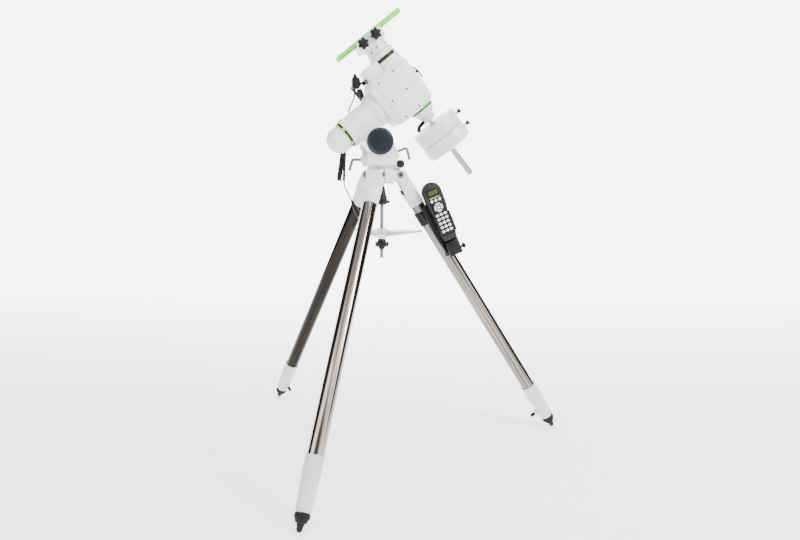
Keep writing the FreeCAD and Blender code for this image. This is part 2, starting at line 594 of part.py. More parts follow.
def make_saddle():
    body = join(cyl(SADDLE_R, Vector(0, 0, DEC_TOP + 0.5), Vector(0, 0, 160)),
                bevel_block(Vector(SADDLE_LOW_X, -36, 152), Vector(SADDLE_HIGH_X, 36, 187), 2.5))
    body = body.cut(bar_solid(-60, 60, RUNNING))
    body = body.cut(block(Vector(-60, -16, SADDLE_TOP), Vector(60, 16, 200)))
    for x in SADDLE_KNOBS_X:
        body = body.cut(cyl(4 + RUNNING, Vector(x, -60, SADDLE_KNOB_Z), Vector(x, 10, SADDLE_KNOB_Z)))
    save_head("saddle", body.removeSplitter())
    for name, x in zip(["saddle_knob_rear", "saddle_knob_front"], SADDLE_KNOBS_X):
        knob = star_knob(17.5, 14, 6, 4, 42)
        knob.Placement = frame_along(Vector(x, -40.5, SADDLE_KNOB_Z), Vector(0, -1, 0))
        save_head(name, knob)


def make_dovetail():
    start = BAR_SHIFT - BAR_LENGTH / 2
    end = BAR_SHIFT + BAR_LENGTH / 2
    bar = bar_solid(start, end, 0)
    below = SADDLE_TOP - 1
    above = SADDLE_TOP + BAR_THICK + 1
    for x in (start + BAR_HOLE_INSET, end - BAR_HOLE_INSET):
        bar = bar.cut(cyl(BAR_HOLE_R, Vector(x, 0, below), Vector(x, 0, above)))
    for low in (start + BAR_SLOT_INSET, end - BAR_SLOT_INSET - BAR_SLOT_LENGTH):
        high = low + BAR_SLOT_LENGTH
        slot = join(block(Vector(low, -BAR_SLOT_R, below), Vector(high, BAR_SLOT_R, above)),
                    cyl(BAR_SLOT_R, Vector(low, 0, below), Vector(low, 0, above)),
                    cyl(BAR_SLOT_R, Vector(high, 0, below), Vector(high, 0, above)))
        bar = bar.cut(slot)
    save_head("dovetail_bar", bar)


# ---------------------------------------------------------------- counterweights

def make_weights():
    nose_top = DEC_BOTTOM - 0.4
    nose = lathe([(0, nose_top), (38, nose_top), (37, DEC_BOTTOM - 6), (24, -117), (0, -117)])
    nose = nose.cut(cyl(WEIGHT_ROD_R, Vector(0, 0, -130), Vector(0, 0, -40)))
    save_head("nose", nose)
    lock = join(cyl(21, Vector(0, 0, -131), Vector(0, 0, -117.4)),
                cone(6, 4, Vector(-18, 0, -124), Vector(-42, 0, -127)),
                cone(4.5, 6, Vector(-42, 0, -127), Vector(-54, 0, -139)))
    shaft_room = cyl(WEIGHT_ROD_R + RUNNING, Vector(0, 0, -140), Vector(0, 0, -100))
    save_head("shaft_lock", lock.cut(shaft_room))
    rod = cyl(WEIGHT_ROD_R, Vector(0, 0, -45), Vector(0, 0, WEIGHT_ROD_END))
    save_head("weight_shaft", rod.makeChamfer(1.2, [rod.Edges[0], rod.Edges[2]]))
    for number, top in enumerate(WEIGHT_TOPS, start=1):
        low = top - WEIGHT_THICK
        weight = cyl(WEIGHT_R, Vector(0, 0, low), Vector(0, 0, top))
        weight = weight.makeChamfer(2.5, [weight.Edges[0], weight.Edges[2]])
        middle = (low + top) / 2
        weight = weight.cut(cyl(WEIGHT_ROD_R + RUNNING, Vector(0, 0, low - 1), Vector(0, 0, top + 1)))
        weight = weight.cut(cyl(4 + RUNNING, Vector(5, 0, middle), Vector(WEIGHT_R + 5, 0, middle)))
        save_head("weight_" + str(number), weight)
        screw = wing_knob(26, 10, 8, 4, WEIGHT_SCREW_GAP + WEIGHT_R - 10)
        screw.Placement = frame_along(Vector(WEIGHT_R + WEIGHT_SCREW_GAP, 0, middle), X_AXIS)
        save_head("weight_screw_" + str(number), screw)


# ---------------------------------------------------------------- handset, its holder and the cables


def handset_frame():
    """x across the handset, -z down it, -y out of its face."""
    across = Vector(-HANDSET_RUN.z, 0, HANDSET_RUN.x)
    turn = Rotation(across, Y_AXIS, HANDSET_RUN * -1, "XYZ")
    return Placement(HANDSET_TOP, turn)


def make_handset():
    half = HANDSET_WIDTH / 2
    outline = [(half - 8, 0), (half, -14), (half, -70), (half - 6, -100),
               (half - 6, -HANDSET_LENGTH + 8), (half - 12, -HANDSET_LENGTH)]
    outline += [(-x, z) for x, z in reversed(outline)]
    body = slab(outline, HANDSET_THICK, HANDSET_FACE)
    window_low = Vector(-WINDOW_HALF, HANDSET_FACE + 0.4, -44)
    window_high = Vector(WINDOW_HALF, HANDSET_FACE + 3, -22)
    screen_room = block(window_low - Vector(0, 3, 0), window_high)
    bed = KEY_BED_HALF - KEY_GAP
    keys_room = block(Vector(-KEY_BED_HALF, -60, -173.3), Vector(KEY_BED_HALF, -53.8, -51.7))
    save("handset", placed(body.cut(screen_room).cut(keys_room), handset_frame()))
    save("handset_screen", placed(block(window_low, window_high), handset_frame()))
    pad = block(Vector(-bed, -56.2, -173), Vector(bed, -54.95, -52))
    for column in (-14, 0, 14):
        pad = pad.fuse(cyl(4.6, Vector(column, KEY_TOP, -58), Vector(column, -56, -58)))
    pad = pad.fuse(tube(13, 6.5, Vector(0, KEY_TOP, -83), Vector(0, -56, -83)))
    for row in range(5):
        for column in (-13, 0, 13):
            centre_z = -106 - 13.5 * row
            key = block(Vector(column - 4.8, KEY_TOP, centre_z - 3.6),
                        Vector(column + 4.8, -56, centre_z + 3.6))
            pad = pad.fuse(key)
    save("handset_keys", placed(pad, handset_frame()))


def make_holder():
    """Cradle behind and under the handset, with a band round the leg tube."""
    half = HANDSET_WIDTH / 2 + 1
    back = block(Vector(-half + 3, -31.4, -214), Vector(half - 3, -27, -92))
    shelf = block(Vector(-half + 8, -58, -216), Vector(half - 8, -27, -HANDSET_LENGTH - 1))
    ear_far = block(Vector(half - 5.4, -50, -172), Vector(half - 1, -27, -104))
    ear_near = block(Vector(-half + 1, -50, -172), Vector(-half + 5.4, -27, -104))
    cradle = placed(join(back, shelf, ear_far, ear_near), handset_frame())
    leg = leg_frame(0)
    band = tube(LEG_TUBE_R + 3.5, LEG_TUBE_R + 0.02, down(HOLDER_BAND_T), down(HOLDER_BAND_T + 46))
    arm = block(Vector(-14, -31, -HOLDER_BAND_T - 44), Vector(40, -LEG_TUBE_R - 1, -HOLDER_BAND_T - 4))
    boss = placed(cyl(7, down(300, 27, -29), down(300, 48, -29)), leg)
    tail = placed(block(Vector(18, -35, -306), Vector(34, -27.2, -262)), leg)
    holder = join(cradle, placed(band, leg), placed(arm, leg), tail, boss)
    holder = holder.cut(placed(cyl(3 + RUNNING, down(300, 20, -29), down(300, 60, -29)), leg))
    save("holder", holder)
    knob = join(cyl(3, Vector(0, 0, -16), Vector(0, 0, 0)), cyl(8, Vector(0, 0, 0), Vector(0, 0, 12)))
    for index in range(6):
        angle = 2 * math.pi * index / 6
        rib = Vector(7.8 * math.cos(angle), 7.8 * math.sin(angle), 0)
        knob = knob.fuse(cyl(1.5, rib, rib + Vector(0, 0, 12)))
    knob.Placement = frame_along(down(300, 49, -29), X_AXIS)
    save("holder_knob", placed(knob, leg))


def rounded_route(points, radius_share=0.45):
    """Wire of straight runs joined by tangent arcs."""
    edges = []
    last = points[0]
    for before, corner, after in zip(points, points[1:], points[2:]):
        run_in = corner - before
        run_out = after - corner
        turn = run_in.getAngle(run_out)
        trim = radius_share * min(run_in.Length, run_out.Length)
        start = corner - Vector(run_in).normalize() * trim
        end = corner + Vector(run_out).normalize() * trim
        bisector = (Vector(run_out).normalize() - Vector(run_in).normalize()).normalize()
        radius = trim / math.tan(turn / 2)
        centre = corner + bisector * (radius / math.cos(turn / 2))
        middle = centre - bisector * radius
        edges.append(Part.makeLine(last, start))
        edges.append(Part.Arc(start, middle, end).toShape())
        last = end
    edges.append(Part.makeLine(last, points[-1]))
    return Part.Wire(edges)


def cord(points, radius):
    wire = rounded_route(points)
    section = Part.Wire(Part.makeCircle(radius, points[0], points[1] - points[0]))
    return wire.makePipeShell([section], True, False)


def make_plugs():
    """Dec motor plug in its bracket on the RA housing, and the gland where its cord returns."""
    post = block(Vector(-140, 14, 46), Vector(-130, 20, 99))
    arm = block(Vector(-140, 8, 92), Vector(-114, 20, 99))
    body = soft_block(Vector(-126, -11, 91), Vector(-108, 11, 121), 2.5)
    peak = cone(8, 2, Vector(-121, 0, 119), Vector(-128, 0, 134))
    boot = cone(6, MOTOR_CORD_R + 0.8, Vector(-122, -1, 94), Vector(*MOTOR_CORD[0]))
    gland = cyl(6, Vector(-188, 38, 20), Vector(*MOTOR_CORD[-1]))
    save_head("motor_plug", join(post, arm, body, peak, boot), gland)


def make_cords():
    motor = cord([Vector(*point) for point in MOTOR_CORD], MOTOR_CORD_R)
    save_head("motor_cord", motor)
    head = cord([Vector(*point) for point in POWER_CORD], POWER_CORD_R)
    tail = cord([Vector(*point) for point in POWER_TAIL], POWER_CORD_R)
    save("power_cord", head, tail)


def make_hank():
    """Outer shape of the tied hank: a flat bundle of folded cord."""
    run = HANK_HIGH - HANK_LOW
    across = Vector(HANK_HALF_WIDTH, HANK_HALF_DEPTH, 0)
    hank = soft_block(across * -1, across + Vector(0, 0, run.Length), HANK_EDGE)
    save("power_hank", placed(hank, frame_along(HANK_LOW, run)))


def make_power_fittings():
    """Gland in the far yoke wall, and the plug on the far end of the power cord."""
    gland = cyl(6, Vector(-30, YOKE_OUT, 916), Vector(*POWER_CORD[0]))
    start = Vector(*POWER_TAIL[-1])
    run = (start - Vector(*POWER_TAIL[-2])).normalize()
    plug = join(cone(4, 7, start, start + run * 24),
                cyl(10.5, start + run * 24, start + run * 62),
                cone(8.5, 6, start + run * 62, start + run * 74),
                cyl(3, start + run * 74, start + run * 80))
    save("power_fittings", gland, plug)


def main():
    os.makedirs("parts", exist_ok=True)
    make_hub()
    make_hinge_bolts()
    for number, azimuth in enumerate(LEG_AZIMUTHS, start=1):
        frame = leg_frame(azimuth)
        label = str(number)
        make_leg_socket(label, frame)
        make_leg_tube(label, frame)
        make_leg_clamp(label, frame)
        make_leg_foot(label, frame)
        make_clamp_screw(label, frame)
    make_mount_screw()
    make_spreader()
    make_spreader_knob()
    make_az_base()
    make_az_knobs()
    make_pivot()
    make_lat_bolts()
    make_ra_housing()
    make_ra_pieces()
    make_dec_housing()
    make_dec_cover()
    make_dec_pieces()
    make_saddle()
    make_dovetail()
    make_weights()
    make_handset()
    make_holder()
    make_plugs()
    make_cords()
    make_hank()
    make_power_fittings()


main()
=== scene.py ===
import json
import math
import bmesh
import bpy
from mathutils import Matrix, Vector


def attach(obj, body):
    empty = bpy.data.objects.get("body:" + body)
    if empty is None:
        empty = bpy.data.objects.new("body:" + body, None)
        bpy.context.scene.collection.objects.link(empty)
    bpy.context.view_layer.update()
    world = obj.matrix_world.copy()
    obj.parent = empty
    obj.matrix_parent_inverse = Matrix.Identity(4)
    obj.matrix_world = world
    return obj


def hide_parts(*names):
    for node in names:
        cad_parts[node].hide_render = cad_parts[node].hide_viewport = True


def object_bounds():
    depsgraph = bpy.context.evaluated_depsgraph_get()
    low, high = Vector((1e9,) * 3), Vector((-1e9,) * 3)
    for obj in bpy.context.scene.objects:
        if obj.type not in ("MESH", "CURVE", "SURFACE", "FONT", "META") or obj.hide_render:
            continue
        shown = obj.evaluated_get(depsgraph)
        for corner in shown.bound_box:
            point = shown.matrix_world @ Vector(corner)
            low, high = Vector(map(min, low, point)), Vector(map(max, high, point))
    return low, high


# German equatorial mount on a steel tripod. Pieces are drawn in millimetres in a frame of their
# own part (head, leg, handset or world), and built() puts them into the model's frame in metres.

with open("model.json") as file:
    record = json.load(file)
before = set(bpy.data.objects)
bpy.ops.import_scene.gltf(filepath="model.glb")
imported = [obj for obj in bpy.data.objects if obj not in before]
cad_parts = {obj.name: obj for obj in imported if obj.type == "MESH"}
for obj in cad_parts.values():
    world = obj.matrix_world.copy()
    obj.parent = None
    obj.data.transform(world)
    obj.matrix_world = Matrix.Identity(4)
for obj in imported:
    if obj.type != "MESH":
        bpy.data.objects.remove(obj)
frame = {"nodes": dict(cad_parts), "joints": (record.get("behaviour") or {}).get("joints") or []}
cad_low, cad_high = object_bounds()
MM = 0.001
JOINTS = {joint["name"]: joint for joint in frame["joints"]}


# ---- frames read from the model


def axes_frame(origin, x_axis, y_axis, z_axis):
    """Local millimetres to the model's metres."""
    turn = Matrix((x_axis, y_axis, z_axis)).transposed().to_4x4()
    return Matrix.Translation(origin) @ turn @ Matrix.Scale(MM, 4)


def joint_axis(name):
    return Vector(JOINTS[name]["axis"]).normalized()


def joint_place(name):
    return Vector(JOINTS[name]["pos_m"])


def crossing(point_a, axis_a, point_b, axis_b):
    """Point of line a nearest to line b."""
    normal = axis_b.cross(axis_a.cross(axis_b))
    return point_a + axis_a * ((point_b - point_a).dot(normal) / axis_a.dot(normal))


RA_AXIS = joint_axis("ra_turn")
DEC_AXIS = joint_axis("dec_turn")
HEAD = axes_frame(crossing(joint_place("ra_turn"), RA_AXIS, joint_place("dec_turn"), DEC_AXIS),
                  RA_AXIS, DEC_AXIS.cross(RA_AXIS), DEC_AXIS)
WORLD = Matrix.Scale(MM, 4)
LEGS = {}
for number in (1, 2, 3):
    down_leg = joint_axis(f"extend_{number}")
    hinge = joint_axis(f"fold_{number}")
    LEGS[number] = axes_frame(joint_place(f"fold_{number}"), hinge.cross(-down_leg), hinge, -down_leg)
LIFT = joint_axis("handset_lift")


def span(node, local):
    """Lowest and highest corner of a CAD node, in millimetres of a local frame."""
    back = local.inverted()
    points = [back @ vertex.co for vertex in frame["nodes"][node].data.vertices]
    low = Vector(min(point[k] for point in points) for k in range(3))
    high = Vector(max(point[k] for point in points) for k in range(3))
    return low, high


# ---- camera, light and floor

CAMERA_PLACE = (-0.4065, -1.998, 0.810)
CAMERA_HEADING = math.radians(76.85)
CAMERA_PITCH = math.radians(-6.87)
CAMERA_ROLL = math.radians(0.45)
TOWARD_CAMERA = Vector((-0.227, -0.974, 0))
LIT_POINT = Vector((0, 0, 0.75))
FLOOR_HALF = 9
FLOOR_GAP = 0.0005
GLOW_SCALE = 10

# Brightness of the studio round the object, as shares of STUDIO_STRENGTH
STUDIO_STRENGTH = 7.0
BACKDROP = 0.95
CEILING = 0.09
SOFTBOX = 0.5
NARROW_BOX = 0.28
SIDE_PANEL = [0.008, 0.007, 0.006]
FRONT_PANEL = [0.040, 0.035, 0.031]
FLOOR_GLOW_NEAR = 1.2
FLOOR_GLOW_FAR = 5.6


def linked(name, data):
    """New object in the scene."""
    thing = bpy.data.objects.new(name, data)
    bpy.context.scene.collection.objects.link(thing)
    return thing


def aim(thing, place, direction, roll=0.0):
    """Puts a camera or a lamp at a place, looking in a direction."""
    thing.location = place
    thing.rotation_mode = "QUATERNION"
    turn = Vector(direction).to_track_quat("-Z", "Y")
    thing.rotation_quaternion = turn @ Matrix.Rotation(roll, 3, "Z").to_quaternion()


def make_camera():
    data = bpy.data.cameras.new("camera")
    data.lens = 28.9
    data.sensor_width = 36
    data.clip_end = 50
    camera = linked("camera", data)
    level = math.cos(CAMERA_PITCH)
    forward = (math.cos(CAMERA_HEADING) * level, math.sin(CAMERA_HEADING) * level, math.sin(CAMERA_PITCH))
    aim(camera, CAMERA_PLACE, forward, CAMERA_ROLL)
    bpy.context.scene.camera = camera


def area_light(name, place, size, power):
    data = bpy.data.lights.new(name, "AREA")
    data.shape = "RECTANGLE"
    data.size, data.size_y = size
    data.energy = power
    aim(linked(name, data), place, LIT_POINT - Vector(place))


def grey(level):
    return [level] * 3


def make_light():
    """Soft studio: pale backdrop and ceiling, two long softboxes, and darker panels between them."""
    world = bpy.data.worlds.new("studio")
    bpy.context.scene.world = world
    world.use_nodes = True
    tree = world.node_tree
    place = add(tree, "ShaderNodeTexCoord").outputs["Generated"]
    front = add(tree, "ShaderNodeVectorMath", {0: place, 1: TOWARD_CAMERA}, operation="DOT_PRODUCT")
    share = add(tree, "ShaderNodeMapRange", {"Value": front.outputs["Value"], "From Min": -1, "From Max": 1})
    around = add(tree, "ShaderNodeValToRGB", {"Fac": share.outputs["Result"]})
    bands = [(0.0, 0.12, grey(BACKDROP)), (0.17, 0.58, SIDE_PANEL), (0.68, 0.86, grey(SOFTBOX)),
             (0.90, 0.975, FRONT_PANEL), (0.99, 1.0, grey(NARROW_BOX))]
    set_stops(around, [(edge, colour) for start, end, colour in bands for edge in (start, end)])
    split = add(tree, "ShaderNodeSeparateXYZ", {"Vector": place})
    height = add(tree, "ShaderNodeMapRange", {"Value": split.outputs["Z"], "From Min": 0.6, "From Max": 0.92},
                 interpolation_type="SMOOTHSTEP")
    mix = add(tree, "ShaderNodeMix", {"Factor": height.outputs["Result"], "A": around.outputs["Color"],
                                      "B": (*grey(CEILING), 1)}, data_type="RGBA")
    feed(tree, tree.nodes["Background"], {"Color": mix.outputs["Result"], "Strength": STUDIO_STRENGTH})
    area_light("key_right", (2.3, -2.4, 2.9), (1.3, 1.6), 165)
    area_light("fill_left", (-2.9, -1.9, 1.7), (1.2, 2.6), 26)
    area_light("top", (0.3, -0.2, 3.6), (1.8, 1.8), 80)


def make_floor():
    """Plain pale sheet, a little larger than what the camera sees of it, glowing more strongly further from
    the camera: painted light.
    """
    bm = bmesh.new()
    bmesh.ops.create_grid(bm, x_segments=2, y_segments=2, size=FLOOR_HALF)
    mesh = mesh_of(bm, "floor")
    floor = linked("floor", mesh)
    floor.location.z = cad_low.z - FLOOR_GAP
    paper, tree, shader = shader_of("pale_floor", 0.0, 0.9)
    place = add(tree, "ShaderNodeTexCoord").outputs["Object"]
    back = add(tree, "ShaderNodeVectorMath", {0: place, 1: -TOWARD_CAMERA}, operation="DOT_PRODUCT")
    along = add(tree, "ShaderNodeMapRange", {"Value": back.outputs["Value"], "From Min": -4, "From Max": 6})
    # The floor glows, more strongly further from the camera: painted light
    glow = add(tree, "ShaderNodeValToRGB", {"Fac": along.outputs["Result"]})
    set_stops(glow, [(0.17, grey(0)), (0.26, grey(0.8 * FLOOR_GLOW_NEAR / GLOW_SCALE)),
                     (0.42, grey(FLOOR_GLOW_NEAR / GLOW_SCALE)), (0.74, grey(FLOOR_GLOW_FAR / GLOW_SCALE))])
    feed(tree, shader, {"Base Color": (*grey(0.93), 1), "Emission Color": glow.outputs["Color"],
                        "Emission Strength": GLOW_SCALE})
    mesh.materials.append(paper)

# ---- materials


def shader_of(name, metallic=0.0, roughness=0.5, coat=0.0, coat_roughness=0.1):
    material = bpy.data.materials.new(name)
    material.use_nodes = True
    tree = material.node_tree
    shader = tree.nodes["Principled BSDF"]
    feed(tree, shader, {"Metallic": metallic, "Roughness": roughness, "Coat Weight": coat,
                        "Coat Roughness": coat_roughness})
    return material, tree, shader


def add(tree, kind, inputs=None, **settings):
    """New node with its settings and inputs."""
    node = tree.nodes.new(kind)
    for key, value in settings.items():
        setattr(node, key, value)
    feed(tree, node, inputs or {})
    return node


def feed(tree, node, inputs):
    """Gives each named input a value, or the output socket that it follows."""
    for key, value in inputs.items():
        if isinstance(value, bpy.types.NodeSocket):
            tree.links.new(value, node.inputs[key])
        else:
            node.inputs[key].default_value = value


def set_stops(node, stops):
    """Sets a colour ramp's stops, given as (position, colour) from first to last."""
    elements = node.color_ramp.elements
    (first, first_colour), *between, (last, last_colour) = stops
    elements[0].position, elements[1].position = first, last
    elements[0].color, elements[1].color = (*first_colour, 1), (*last_colour, 1)
    for position, colour in between:
        elements.new(position).color = (*colour, 1)


def noise(tree, scale, detail=3.0):
    """Noise on object coordinates, in metres."""
    place = add(tree, "ShaderNodeTexCoord").outputs["Object"]
    return add(tree, "ShaderNodeTexNoise", {"Vector": place, "Scale": scale, "Detail": detail}).outputs["Fac"]


def ramp(tree, source, low, high):
    """Colour ramp between two tones, over the middle of the source's range."""
    node = add(tree, "ShaderNodeValToRGB", {"Fac": source})
    set_stops(node, [(0.3, low), (0.7, high)])
    return node.outputs["Color"]


def vary_roughness(tree, shader, source, low, high):
    spread = add(tree, "ShaderNodeMapRange", {"Value": source, "To Min": low, "To Max": high})
    feed(tree, shader, {"Roughness": spread.outputs["Result"]})


def add_bump(tree, shader, source, strength, distance):
    bump = add(tree, "ShaderNodeBump", {"Height": source, "Strength": strength, "Distance": distance})
    feed(tree, shader, {"Normal": bump.outputs["Normal"]})


def wear_colour(tree, colour, edge_colour, amount):
    """Mixes an edge tone in where the surface is convex: a painted highlight along the edges."""
    bend = add(tree, "ShaderNodeNewGeometry").outputs["Pointiness"]
    pick = add(tree, "ShaderNodeMapRange", {
        "Value": bend, "From Min": 0.53, "From Max": 0.66, "To Max": amount})
    mix = add(tree, "ShaderNodeMix", {"Factor": pick.outputs["Result"], "A": colour, "B": (*edge_colour, 1)},
              data_type="RGBA")
    return mix.outputs["Result"]


def painted(name, low, high, roughness=0.36):
    """Powder coat: fine orange peel, slight clouding, and paler edges that are a painted highlight."""
    material, tree, shader = shader_of(name, roughness=roughness, coat=0.1, coat_roughness=0.3)
    # Paler tone on convex edges: painted highlight
    colour = wear_colour(tree, ramp(tree, noise(tree, 14, 4), low, high), (0.88, 0.88, 0.87), 0.12)
    feed(tree, shader, {"Base Color": colour})
    vary_roughness(tree, shader, noise(tree, 60), roughness - 0.05, roughness + 0.08)
    add_bump(tree, shader, noise(tree, 900, 2), 0.12, 0.0004)
    return material


def metal(name, low, high, roughness, grain_scale=500, bump=0.05):
    """Machined or plated metal with fine tool marks."""
    material, tree, shader = shader_of(name, metallic=1.0, roughness=roughness)
    marks = noise(tree, grain_scale, 4)
    feed(tree, shader, {"Base Color": ramp(tree, marks, low, high)})
    vary_roughness(tree, shader, marks, max(roughness - 0.05, 0.02), roughness + 0.08)
    add_bump(tree, shader, marks, bump, 0.0002)
    return material


def plastic(name, low, high, roughness, grain=1400, bump=0.25, coat=0.0):
    """Moulded plastic or rubber with a fine spark-eroded grain and faint handling marks."""
    material, tree, shader = shader_of(name, roughness=roughness, coat=coat)
    marks = noise(tree, 35, 5)
    feed(tree, shader, {"Specular IOR Level": 0.22, "Base Color": ramp(tree, marks, low, high)})
    vary_roughness(tree, shader, marks, roughness - 0.06, roughness + 0.1)
    add_bump(tree, shader, noise(tree, grain, 2), bump, 0.0003)
    return material

# Share of full brightness of each leg's steel: painted light, each leg's tube drawn lighter or darker by how
# the light falls on it
TUBE_PAINTED_LIGHT = {1: 0.7, 2: 1.0, 3: 0.08}


def tube_steel(number):
    """Drawn stainless tube: long bright and brown streaks that run down the leg, partly grain and partly
    painted reflections, in a copy for each leg with its own painted light.
    """
    material, tree, shader = shader_of(f"tube_steel_{number}", metallic=1.0, roughness=0.1)
    leg = LEGS[number]
    mapping = add(tree, "ShaderNodeMapping", {
        "Vector": add(tree, "ShaderNodeTexCoord").outputs["Object"],
        "Location": leg.translation, "Rotation": leg.to_euler(), "Scale": (1, 1, 90)}, vector_type="TEXTURE")
    texture = add(tree, "ShaderNodeTexNoise", {
        "Vector": mapping.outputs["Vector"], "Scale": 260, "Detail": 5})
    streaks = texture.outputs["Fac"]
    # Each leg's copy of the steel is made lighter or darker: painted light
    tone = TUBE_PAINTED_LIGHT[number]
    dark = [tone * value for value in (0.13, 0.112, 0.10)]
    bright = [tone * value for value in (0.48, 0.445, 0.415)]
    # Bright and brown streaks along the tube: partly grain, partly painted reflections
    feed(tree, shader, {"Base Color": ramp(tree, streaks, dark, bright)})
    vary_roughness(tree, shader, streaks, 0.06, 0.15)
    add_bump(tree, shader, streaks, 0.06, 0.0003)
    return material

# Dark and light tone, roughness
PAINTS = {
    "white_paint": ((0.74, 0.75, 0.74), (0.80, 0.81, 0.80)),
    # The same white paint made darker for the lower leg castings: painted shade
    "foot_paint": ((0.52, 0.54, 0.55), (0.60, 0.62, 0.63)),
    "weight_paint": ((0.66, 0.66, 0.63), (0.72, 0.72, 0.69), 0.3),
}
# Dark and light tone, roughness, grain scale, bump
METALS = {
    "steel": ((0.34, 0.34, 0.33), (0.52, 0.52, 0.51), 0.28),
    "dark_rod": ((0.13, 0.13, 0.14), (0.24, 0.24, 0.25), 0.38),
    "chrome": ((0.36, 0.34, 0.32), (0.52, 0.50, 0.48), 0.08, 90),
    "bronze": ((0.52, 0.37, 0.16), (0.66, 0.5, 0.25), 0.35),
    "light_alloy": ((0.62, 0.62, 0.60), (0.76, 0.76, 0.74), 0.42, 220, 0.12),
    "dark_anodised": ((0.03, 0.035, 0.03), (0.06, 0.065, 0.06), 0.35),
    "bolt_grey": ((0.16, 0.155, 0.145), (0.26, 0.25, 0.235), 0.3),
}
# Dark and light tone, roughness, grain scale, bump, coat
PLASTICS = {
    "green_anodised": ((0.12, 0.70, 0.055), (0.15, 0.76, 0.075), 0.4, 500, 0.02),
    # Dark green for the printed marks of the declination scale, and painted shade along the edges of the
    # dovetail bar
    "dark_green_print_and_painted_shade": ((0.015, 0.11, 0.008), (0.03, 0.17, 0.015), 0.4, 500, 0.02),
    "olive_dark": ((0.004, 0.010, 0.003), (0.009, 0.020, 0.006), 0.4, 500, 0.02),
    "pale_ring": ((0.50, 0.66, 0.44), (0.56, 0.72, 0.50), 0.4, 500, 0.02),
    "black_plastic": ((0.003, 0.003, 0.003), (0.007, 0.007, 0.007), 0.42),
    "black_rubber": ((0.004, 0.004, 0.004), (0.008, 0.008, 0.008), 0.6, 900, 0.35),
    "cap_plastic": ((0.005, 0.008, 0.012), (0.007, 0.011, 0.016), 0.35, 300, 0.03, 0.1),
    "handset_grey": ((0.010, 0.011, 0.012), (0.019, 0.021, 0.022), 0.45),
    "handset_dark": ((0.003, 0.003, 0.004), (0.006, 0.006, 0.007), 0.38),
    "key_white": ((0.62, 0.62, 0.65), (0.76, 0.76, 0.79), 0.5, 800, 0.1),
    "key_ink": ((0.01, 0.01, 0.02), (0.02, 0.02, 0.03), 0.5),
    "lcd_green": ((0.028, 0.07, 0.012), (0.045, 0.10, 0.02), 0.35, 900, 0.03, 0.1),
    "lcd_pale": ((0.22, 0.36, 0.14), (0.28, 0.42, 0.19), 0.4, 900, 0.02),
    "cord_black": ((0.003, 0.003, 0.003), (0.007, 0.007, 0.007), 0.5, 2200, 0.2),
}


def make_materials():
    """Every material by the slot that it fills."""
    made = {}
    for make, looks in ((painted, PAINTS), (metal, METALS), (plastic, PLASTICS)):
        made.update({slot: make(slot, *look) for slot, look in looks.items()})
    # A copy of the tube steel for each leg, lighter or darker by painted light
    made.update({f"steel_tube_{number}": tube_steel(number) for number in LEGS})
    made["steel_tube"] = made["steel_tube_1"]
    return made


MATERIALS = make_materials()


def dress_cad_nodes():
    """Procedural materials on every CAD node, by its slot in the record."""
    for thing in frame["nodes"].values():
        for index, old in enumerate(thing.data.materials):
            slot = old.name.split(".")[0] if old else ""
            thing.data.materials[index] = MATERIALS.get(slot, MATERIALS["white_paint"])


# ---- cords

MOTOR_ROUTE = [(-132, -3, 87), (-141, -3, 76), (-152, 2, 66), (-166, 14, 59), (-179, 30, 52), (-187, 44, 39),
               (-188, 52, 20)]
MOTOR_CORD_R = 2.2
POWER_ROUTE = [(-30, 74, 916), (-40, 77, 934), (-50, 77, 955), (-60, 75, 976), (-76, 72, 990), (-96, 69, 988),
               (-112, 67, 974), (-119, 67, 955)]
POWER_TAIL = [(-112, 60, 832), (-106, 52, 817), (-98, 46, 801), (-91, 40, 785)]
POWER_CORD_R = 1.9
HANK_LOW = Vector((-121, 55, 846))
HANK_HIGH = Vector((-112, 57, 938))
HANK_TURNS = 4
HANK_FOLD = 11.6
HANK_PITCH = 4.1
HANK_SPREAD = 3.2
HANK_ARC_STEPS = 7
HANK_RUN_STEPS = 3


def hank_points():
    """Folded turns of the tied hank, side by side, from the top of its first run to the foot of its last."""
    middle = (HANK_LOW + HANK_HIGH) / 2
    along = (HANK_HIGH - HANK_LOW).normalized()
    deep = Vector((0, 1, 0))
    across = deep.cross(along).normalized()
    run = (HANK_HIGH - HANK_LOW).length / 2 - HANK_FOLD

    def place(layer, height, depth):
        """Layers lie side by side; low down, they part into two bunches."""
        low_share = min(max(0.5 - height / (2 * run), 0), 1) ** 2
        parting = HANK_SPREAD * (1 if layer > HANK_TURNS - 1.5 else -1) * low_share
        side = (layer - HANK_TURNS / 2) * HANK_PITCH + parting
        return middle + along * height + across * side + deep * depth

    def straight(turn, way):
        """Down the near face with way 1, up the far face with way -1."""
        return [place(turn, way * run * (1 - 2 * step / HANK_RUN_STEPS), way * HANK_FOLD)
                for step in range(HANK_RUN_STEPS + 1)]

    def fold(turn, way, drift):
        """Round the foot with way 1, round the top with way -1, drifting on to the next layer."""
        share = [step / HANK_ARC_STEPS for step in range(1, HANK_ARC_STEPS)]
        return [place(turn + drift * s, way * (-run - HANK_FOLD * math.sin(math.pi * s)),
                      way * HANK_FOLD * math.cos(math.pi * s)) for s in share]

    points = []
    for turn in range(HANK_TURNS):
        points += straight(turn, 1) + fold(turn, 1, 0) + straight(turn, -1) + fold(turn, -1, 1)
    return points + straight(HANK_TURNS, 1)


